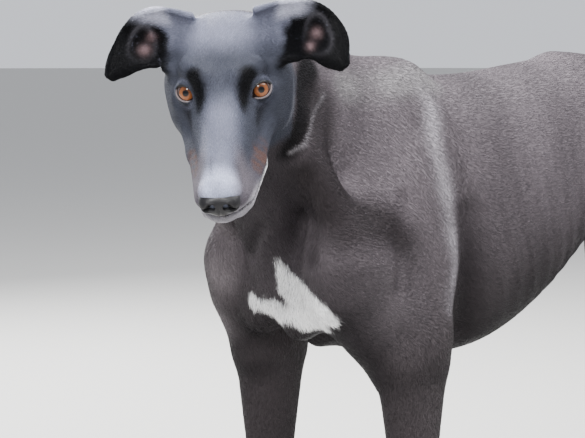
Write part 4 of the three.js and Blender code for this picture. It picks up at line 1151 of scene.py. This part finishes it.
def unwrap(p):
    """A place on a flat sheet of 4 x 3 tiles: the nearest axis picks the tile, and the turn about the axis and
    the way along it are the place in it."""
    away, turn, share = [], [], []
    for a, b in UNWRAP:
        ab = np.subtract(b, a).astype(float)
        t = np.clip((p - a) @ ab / (ab @ ab), 0, 1)
        v = p - a - t[:, None] * ab
        side = unit(np.cross(ab, [0.3, 0.1, 1] if abs(unit(ab)[2]) < 0.8 else [0, 1, 0]))
        away.append(length(v))
        turn.append(np.arctan2(v @ side, v @ np.cross(unit(ab), side)) / (2 * np.pi) + 0.5)
        share.append(t)
    tile, rows = np.argmin(away, 0), np.arange(len(p))
    u, v = np.array(turn)[tile, rows], np.array(share)[tile, rows]
    return np.stack([(tile % 4 + 0.05 + 0.9 * u) / 4, (tile // 4 + 0.05 + 0.9 * v) / 3], 1)


def plant(name, chosen):
    """Tufts over the chosen triangles, their number set by how much each tuft covers."""
    long, wide, _, cover = hair_size(triangle_middle[chosen], middle_head[chosen])
    want = triangle_area[chosen] * cover / (0.5 * long * wide)
    total = min(int(want.sum()), TUFT_MOST)
    grown = np.cumsum(want)
    pick = np.searchsorted(grown, (np.arange(total) + rng.random(total)) / total * grown[-1])
    tri = skin_triangles[chosen[np.minimum(pick, len(chosen) - 1)]]
    a, b = rng.random(total), rng.random(total)
    flip = a + b > 1
    a, b = np.where(flip, 1 - a, a), np.where(flip, 1 - b, b)
    weights = np.stack([1 - a - b, a, b], 1)[..., None]
    root = (skin_points[tri] * weights).sum(1)
    normal = unit((skin_normals[tri] * weights).sum(1))
    h = to_head(root)
    keep = ~bare(root, h)
    root, normal, h, total = root[keep], normal[keep], h[keep], int(keep.sum())
    long, wide, lift, _ = hair_size(root, h)
    way = lie(root, normal)
    swing = rng.normal(0, 0.16, total)[:, None]  # radians
    way = way * np.cos(swing) + np.cross(normal, way) * np.sin(swing)
    side = np.cross(normal, way)
    long = (long * rng.uniform(0.65, 1.25, total))[:, None]
    wide = (wide * rng.uniform(0.8, 1.2, total))[:, None]
    rise = (lift * rng.uniform(0.5, 1.6, total))[:, None] * long
    start = root - normal * SUNK - way * long * 0.5
    waist = root - way * long * 0.12 + normal * (0.22 + 0.35 * rise)
    tip = root + way * long * 0.5 + normal * (0.10 + rise)
    points = np.stack([start, waist + side * wide / 2, waist - side * wide / 2, tip], 1)
    faces = np.arange(total)[:, None, None] * 4 + TUFT_FACES
    piece = make_piece(name, points.reshape(-1, 3), faces.reshape(-1, 3))
    tones = marks_and_painted_light(root + rng.normal(0, 1.0, (total, 3)), normal)
    tones *= np.exp(rng.normal(0, 0.13, total))[:, None]
    # Each tuft is darker at its root, as painted shade down in the coat, and lighter at its tip, partly paler hair
    # ends and partly painted sheen.
    paint(piece, np.stack([tones * 0.8, tones, tones, tones * 1.15], 1).reshape(-1, 3))
    corners = (unwrap(root)[:, None] + PATCH).reshape(-1, 2)
    layer = piece.data.uv_layers.new(name="OFBake")
    layer.data.foreach_set("uv", corners[faces.reshape(-1)].astype(np.float32).ravel())
    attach(piece, "root")
    print(name, total, "tufts,", total * 4, "triangles")
    return piece


# %% [markdown]
# The coat is cut into eight pieces, so that each stays light enough to open and bake on its own. The cuts run
# where the eye doesn't look for them, down the middle line and round the tops of the legs, and since all tufts
# come from one skin, no seam shows.

# %% Grow the coat, piece by piece
on_head = (head_share(middle_head) > 0.5) | (ear_share(middle_head) > 0.5)
x, y, z = triangle_middle.T
rear = y > 330
on_leg = z < np.where(rear, 400, 352)
left = np.where(on_head, middle_head[:, 0], x) > 0
areas = np.select([on_head, on_leg & ~rear, on_leg, y < 60], ["head", "forelegs", "hindlegs", "front"], "flank")
coat = []
for area in ("head", "forelegs", "hindlegs", "front", "flank"):
    whole = "legs" in area
    for side, half in [("", True)] if whole else [("_left", left), ("_right", ~left)]:
        coat.append(plant("coat_" + area + side, np.flatnonzero((areas == area) & half)))


# %% [markdown]
# Eyes. A dog's visible eye is nearly all iris: amber, darker at its rim, with fine spokes, round a small pupil.
# The ball is a grid round the axis that it looks along, with the clear front bulging a little, and its colours
# are worked out from the angle off that axis. A thin wet coat gives the glint.

# %% Eyes
IRIS, PUPIL = 0.745, 0.270  # half angles off the axis, in radians


def grid_faces(rows, columns, loop=False):
    """Four-sided faces over a grid of points, closed round its columns and, in a loop, round its rows too."""
    i, j = lattice(range(rows if loop else rows - 1), range(columns)).T
    n, k = (i + 1) % rows, (j + 1) % columns
    return np.stack([i * columns + j, i * columns + k, n * columns + k, n * columns + j], 1)


def turns(count):
    """Angles spaced evenly round a circle."""
    return np.linspace(0, 2 * np.pi, count, endpoint=False)


def star(off, around, look, side, top):
    """Directions at angles off the axis look and turns around it, from side towards top."""
    off, around = off[:, None], around[:, None]
    return np.cos(off) * look + np.sin(off) * (np.cos(around) * side + np.sin(around) * top)


def make_eye(name, s):
    """An eyeball that looks halfway between straight out of its lids and the lens."""
    centre, _, up, forward = eye_frame(s)
    lens_at = to_head(np.array(camera.location) / MM + CENTRE)
    look = unit(forward + unit(lens_at - centre))
    side = unit(np.cross(up, look))
    rows, columns = 72, 96
    off = np.linspace(0.004, np.pi - 0.004, rows) ** 1.35 / (np.pi - 0.004) ** 0.35
    off, around = lattice(off, turns(columns)).T
    radius = EYE_BALL + 0.55 * smooth(off, 0.85, 0.35)
    points = from_head(centre + star(off, around, look, side, np.cross(look, side)) * radius[:, None])
    share = off / IRIS
    spokes = 0.5 + 0.25 * np.sin(around * 37 + 3 * np.sin(around * 5)) + 0.25 * np.sin(around * 61 + 2 * share)
    colours = np.array([0.165, 0.056, 0.020]) * (0.62 + 0.5 * spokes)[:, None]
    colours = blend(colours, smooth(share, 0.55, 0.3) * 0.5, (0.10, 0.035, 0.012))
    # The iris is darker towards its top, as painted shade of the upper lid, and lighter towards its bottom, as
    # painted light through the clear front.
    colours *= (0.95 - 0.55 * np.sin(around))[:, None]
    for mask, tint in (
        (smooth(share, 0.80, 0.98), (0.012, 0.006, 0.005)),
        (smooth(off, PUPIL + 0.03, PUPIL - 0.03), (0.002, 0.002, 0.003)),
        (smooth(share, 1.02, 1.15), (0.05, 0.03, 0.025)),
    ):
        colours = blend(colours, mask, tint)
    piece = make_piece(name, points, grid_faces(rows, columns)[:, ::-1])
    paint(piece, colours)
    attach(piece, "root")
    return piece


eyes = {s: make_eye(name, s) for name, s in (("eyeball_left", 1), ("eyeball_right", -1))}
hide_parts("eye_left")
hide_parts("eye_right")


# %% [markdown]
# Round each eye runs a narrow bare rim, black and wet. It is a tube: a small circle carried along the almond of
# the lids' edge, which lies just above the eyeball.

# %% Rims of the lids
AROUND = 12  # points of each circle
EDGE = 60  # places along one lid


def carried(path, first, second, radii):
    """Circles round the points of a path, each in the plane of its first and second direction."""
    a = turns(AROUND)[:, None]
    ring = np.cos(a) * first[:, None] + np.sin(a) * second[:, None]
    return (path[:, None] + ring * radii[:, None, None]).reshape(-1, 3)


def lid_rim(s):
    """Points and colours of the tube along the upper lid's edge and back along the lower one's."""
    centre, out, up, forward = eye_frame(s)
    inner, outer = -ALMOND["half"] * ALMOND["drawn"], ALMOND["half"]
    x = (inner + outer) / 2 - (outer - inner) / 2 * np.cos(np.linspace(0, np.pi, EDGE))
    above, below = almond(x)
    x = np.concatenate([x, x[-2:0:-1]])
    y = np.concatenate([above, below[-2:0:-1]])
    z = np.sqrt(np.maximum((EYE_BALL + 0.9) ** 2 - x**2 - y**2, 9))
    path = from_head(centre + x[:, None] * out + y[:, None] * up + z[:, None] * forward)
    ahead = unit(np.roll(path, -1, 0) - np.roll(path, 1, 0))
    first = path - path.mean(0)
    first = unit(first - (first * ahead).sum(1)[:, None] * ahead)
    lower = np.arange(len(x)) >= EDGE
    radii = 0.95 + 0.25 * ~lower * np.sin(np.linspace(0, np.pi, len(x)))
    colours = np.where(lower[:, None], (0.110, 0.088, 0.090), (0.004, 0.004, 0.005))
    return carried(path, first, np.cross(ahead, first), radii), colours.repeat(AROUND, 0)


rim_points, rim_colours = (np.concatenate(both_eyes) for both_eyes in zip(lid_rim(1), lid_rim(-1)))
tube = grid_faces(2 * EDGE - 2, AROUND, loop=True)[:, ::-1]
lids = make_piece("lid_rims", rim_points, np.concatenate([tube, tube + len(rim_points) // 2]))
paint(lids, rim_colours)
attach(lids, "root")


# %% [markdown]
# The nose is damp leather. It is a star-shaped form: from one middle, a ray in every direction goes out to the
# field of the nose, and the comma of each nostril is pushed in afterwards.

# %% Nose
NOSE_MIDDLE = np.array([0, -124.0, -36.0])
rows, columns = 110, 160
off, around = lattice(np.linspace(0.01, 2.35, rows), turns(columns)).T
ways = star(off, around, *np.array([(0, -1, 0), (1, 0, 0), (0, 0, 1)]))
near, far = np.zeros(len(ways)), np.full(len(ways), 30.0)
for _ in range(26):  # each ray's length by halving
    half = (near + far) / 2
    inside = melt(nose_forms, NOSE_MIDDLE + ways * half[:, None]) < 0
    near, far = np.where(inside, half, near), np.where(inside, far, half)
leather = NOSE_MIDDLE + ways * near[:, None]
comma = [(7.2, 0, -34.6), (9.6, 0, -35.0), (13.2, 0, -37.6), (17.0, 0, -38.6)]
dent = patch(folded(leather) * (1, 0, 1), comma, [3.0, 3.2, 1.5, 0.7], 1.0, -1.6) * (leather[:, 1] < -122)
cleft = np.exp(-((leather[:, 0] / 0.9) ** 2)) * smooth(leather[:, 2], -34, -40) * (leather[:, 1] < -124)
leather = NOSE_MIDDLE + ways * (near - 6.5 * dent - 0.9 * cleft)[:, None]
nose = make_piece("nose_leather", from_head(leather), grid_faces(rows, columns))
# Painted shade: the leather darkens to near black in the nostrils.
leather_and_nostril_shade = blend(np.tile((0.0050, 0.0045, 0.0055), (len(dent), 1)), dent, (0.001, 0.001, 0.001))
paint(nose, blend(leather_and_nostril_shade, smooth(leather[:, 2], -42, -47) * 0.5, (0.030, 0.018, 0.022)))
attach(nose, "root")
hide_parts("nose")
print("nose of", len(leather), "points")


# %% [markdown]
# Claws: sixteen short horns, each a circle that shrinks as it is carried along a drooping arc.

# %% Claws
RINGS = 14  # circles of one claw


def claw(knuckle, size, t, reach):
    """Circles along a line that leaves the toe and droops with the square of the way along it."""
    root = np.array([knuckle[0] + t * 15.5 * size, knuckle[1] - (57 + reach) * size, 12 * size])
    u = np.linspace(0, 1, RINGS)
    path = root + np.stack([0 * u, -17.5 * u, 2 * u - 11 * u**2], 1) * size
    side = np.tile((1.0, 0, 0), (RINGS, 1))
    radii = 3.4 * size * np.sqrt(np.clip(1 - u**2.2, 0.004, 1)) * (1 - 0.35 * u)
    return carried(path, 0.78 * side, np.cross(side, unit(np.gradient(path, axis=0))), radii)


horns = [claw(knuckle, size, t, reach) for knuckle, size in PAWS for t, reach in TOES]
horn_faces = grid_faces(RINGS, AROUND)
claws = make_piece("claws", np.concatenate(horns),
                   np.concatenate([horn_faces + i * RINGS * AROUND for i in range(len(horns))]))
tone = np.tile(np.linspace(1, 0, RINGS).repeat(AROUND), len(horns))
paint(claws, blend(np.tile((0.035, 0.028, 0.024), (len(tone), 1)), tone * 0.6, (0.010, 0.009, 0.009)))
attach(claws, "root")
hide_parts(*[f"{group}_claw_{side}_{i}" for group in ("front", "rear") for side in ("left", "right")
                     for i in (1, 2, 3, 4)])


# %% [markdown]
# Finishes. Each reads the colours painted on its piece and adds what is finer than the mesh: the streaks and
# the sheen of the hair, the grain of the skin under it, the pebbles of the nose, the growth rings of the claws.

# %% Materials
def put(node, **values):
    """Fixed values for some inputs of a node. In a name _ stands for a space."""
    for name, value in values.items():
        node.inputs[name.replace("_", " ")].default_value = value
    return node


def finish(name, roughness, grain, depth, stretch=(1, 1, 1), sheen=0.0, coat=0.0, mottle=0.25, specular=0.5):
    """A surface that takes its colour from the attribute tone, varied and roughened by noise of one grain."""
    material = bpy.data.materials.new(name)
    material.use_nodes = True
    nodes = material.node_tree.nodes
    shader = put(nodes["Principled BSDF"], Sheen_Weight=sheen, Sheen_Roughness=0.35,
                 Sheen_Tint=(0.78, 0.82, 1.0, 1), Coat_Weight=coat, Coat_Roughness=0.04,
                 Specular_IOR_Level=specular)
    tone = nodes.new("ShaderNodeAttribute")
    tone.attribute_name = "tone"
    place = nodes.new("ShaderNodeTexCoord")
    scale = put(nodes.new("ShaderNodeMapping"), Scale=stretch)
    noise = put(nodes.new("ShaderNodeTexNoise"), Scale=grain, Detail=5)
    spread_out = put(nodes.new("ShaderNodeMapRange"), To_Min=1 - mottle, To_Max=1 + mottle)
    vary = nodes.new("ShaderNodeVectorMath")
    vary.operation = "SCALE"
    gloss = put(nodes.new("ShaderNodeMapRange"), To_Min=roughness * 0.8, To_Max=roughness * 1.2)
    bump = put(nodes.new("ShaderNodeBump"), Strength=0.6, Distance=depth)
    for source, output, target, entry in (
        (place, "Object", scale, "Vector"), (scale, "Vector", noise, "Vector"),
        (noise, "Fac", spread_out, "Value"), (noise, "Fac", gloss, "Value"), (noise, "Fac", bump, "Height"),
        (tone, "Color", vary, 0), (spread_out, "Result", vary, "Scale"), (vary, "Vector", shader, "Base Color"),
        (gloss, "Result", shader, "Roughness"), (bump, "Normal", shader, "Normal"),
    ):
        material.node_tree.links.new(source.outputs[output], target.inputs[entry])
    return material


skin.data.materials.append(finish("skin_under_coat", 0.46, 700, 0.0005, (1, 1, 0.35), specular=0.05))
hair = finish("short_hair", 0.40, 60, 0.0002, sheen=0.01, specular=0.06)
for piece in coat:
    piece.data.materials.append(hair)
for piece in eyes.values():
    piece.data.materials.append(finish(piece.name + "_wet", 0.05, 400, 0.0, coat=0.35, mottle=0.08, specular=0.12))
lids.data.materials.append(finish("wet_rim", 0.4, 700, 0.0002, coat=0.1, specular=0.3))
nose.data.materials.append(finish("damp_leather", 0.46, 620, 0.0007, coat=0.03, mottle=0.3, specular=0.26))
claws.data.materials.append(finish("horn", 0.35, 300, 0.0002, (1, 6, 1), coat=0.1))


# %% [markdown]
# A plain studio: a pale floor out to the horizon, a wide soft panel overhead, as the open sky was in the
# photograph, a small bright window at the camera's left for the glint in the eyes, and a panel behind for the
# rim of the ears and the back.

# %% Studio
def softbox(name, place, aim, size, power):
    """A rectangular lamp at a place, turned towards the point aim."""
    data = bpy.data.lights.new(name, "AREA")
    data.shape = "RECTANGLE"
    data.size, data.size_y = size
    data.energy = power
    lamp = bpy.data.objects.new(name, data)
    bpy.context.scene.collection.objects.link(lamp)
    lamp.location = place
    lamp.rotation_euler = (Vector(aim) - Vector(place)).to_track_quat("-Z", "Y").to_euler()


softbox("sky_panel", (0.3, 0.3, 3.0), (0, -0.1, 0.5), (4.0, 4.0), 450)
softbox("window", (1.38, -2.2, 1.9), (0.1, -0.4, 0.65), (0.6, 0.5), 92)
softbox("rim", (-2.6, 0.4, 1.9), (0, 0, 0.5), (1.6, 1.6), 190)
world = bpy.data.worlds.new("pale_room")
world.use_nodes = True
put(world.node_tree.nodes["Background"], Color=(0.9, 0.93, 1.0, 1), Strength=0.95)
bpy.context.scene.world = world
FLOOR_RADIUS = 40000  # millimetres
edge = turns(64)
ring = np.stack([np.cos(edge), np.sin(edge), 0 * edge], 1) * FLOOR_RADIUS + CENTRE
floor = make_piece("floor", ring, np.arange(len(ring))[None])
surface = bpy.data.materials.new("pale_floor")
surface.use_nodes = True
put(surface.node_tree.nodes["Principled BSDF"], Base_Color=(0.46, 0.455, 0.44, 1), Roughness=0.8)
floor.data.materials.append(surface)
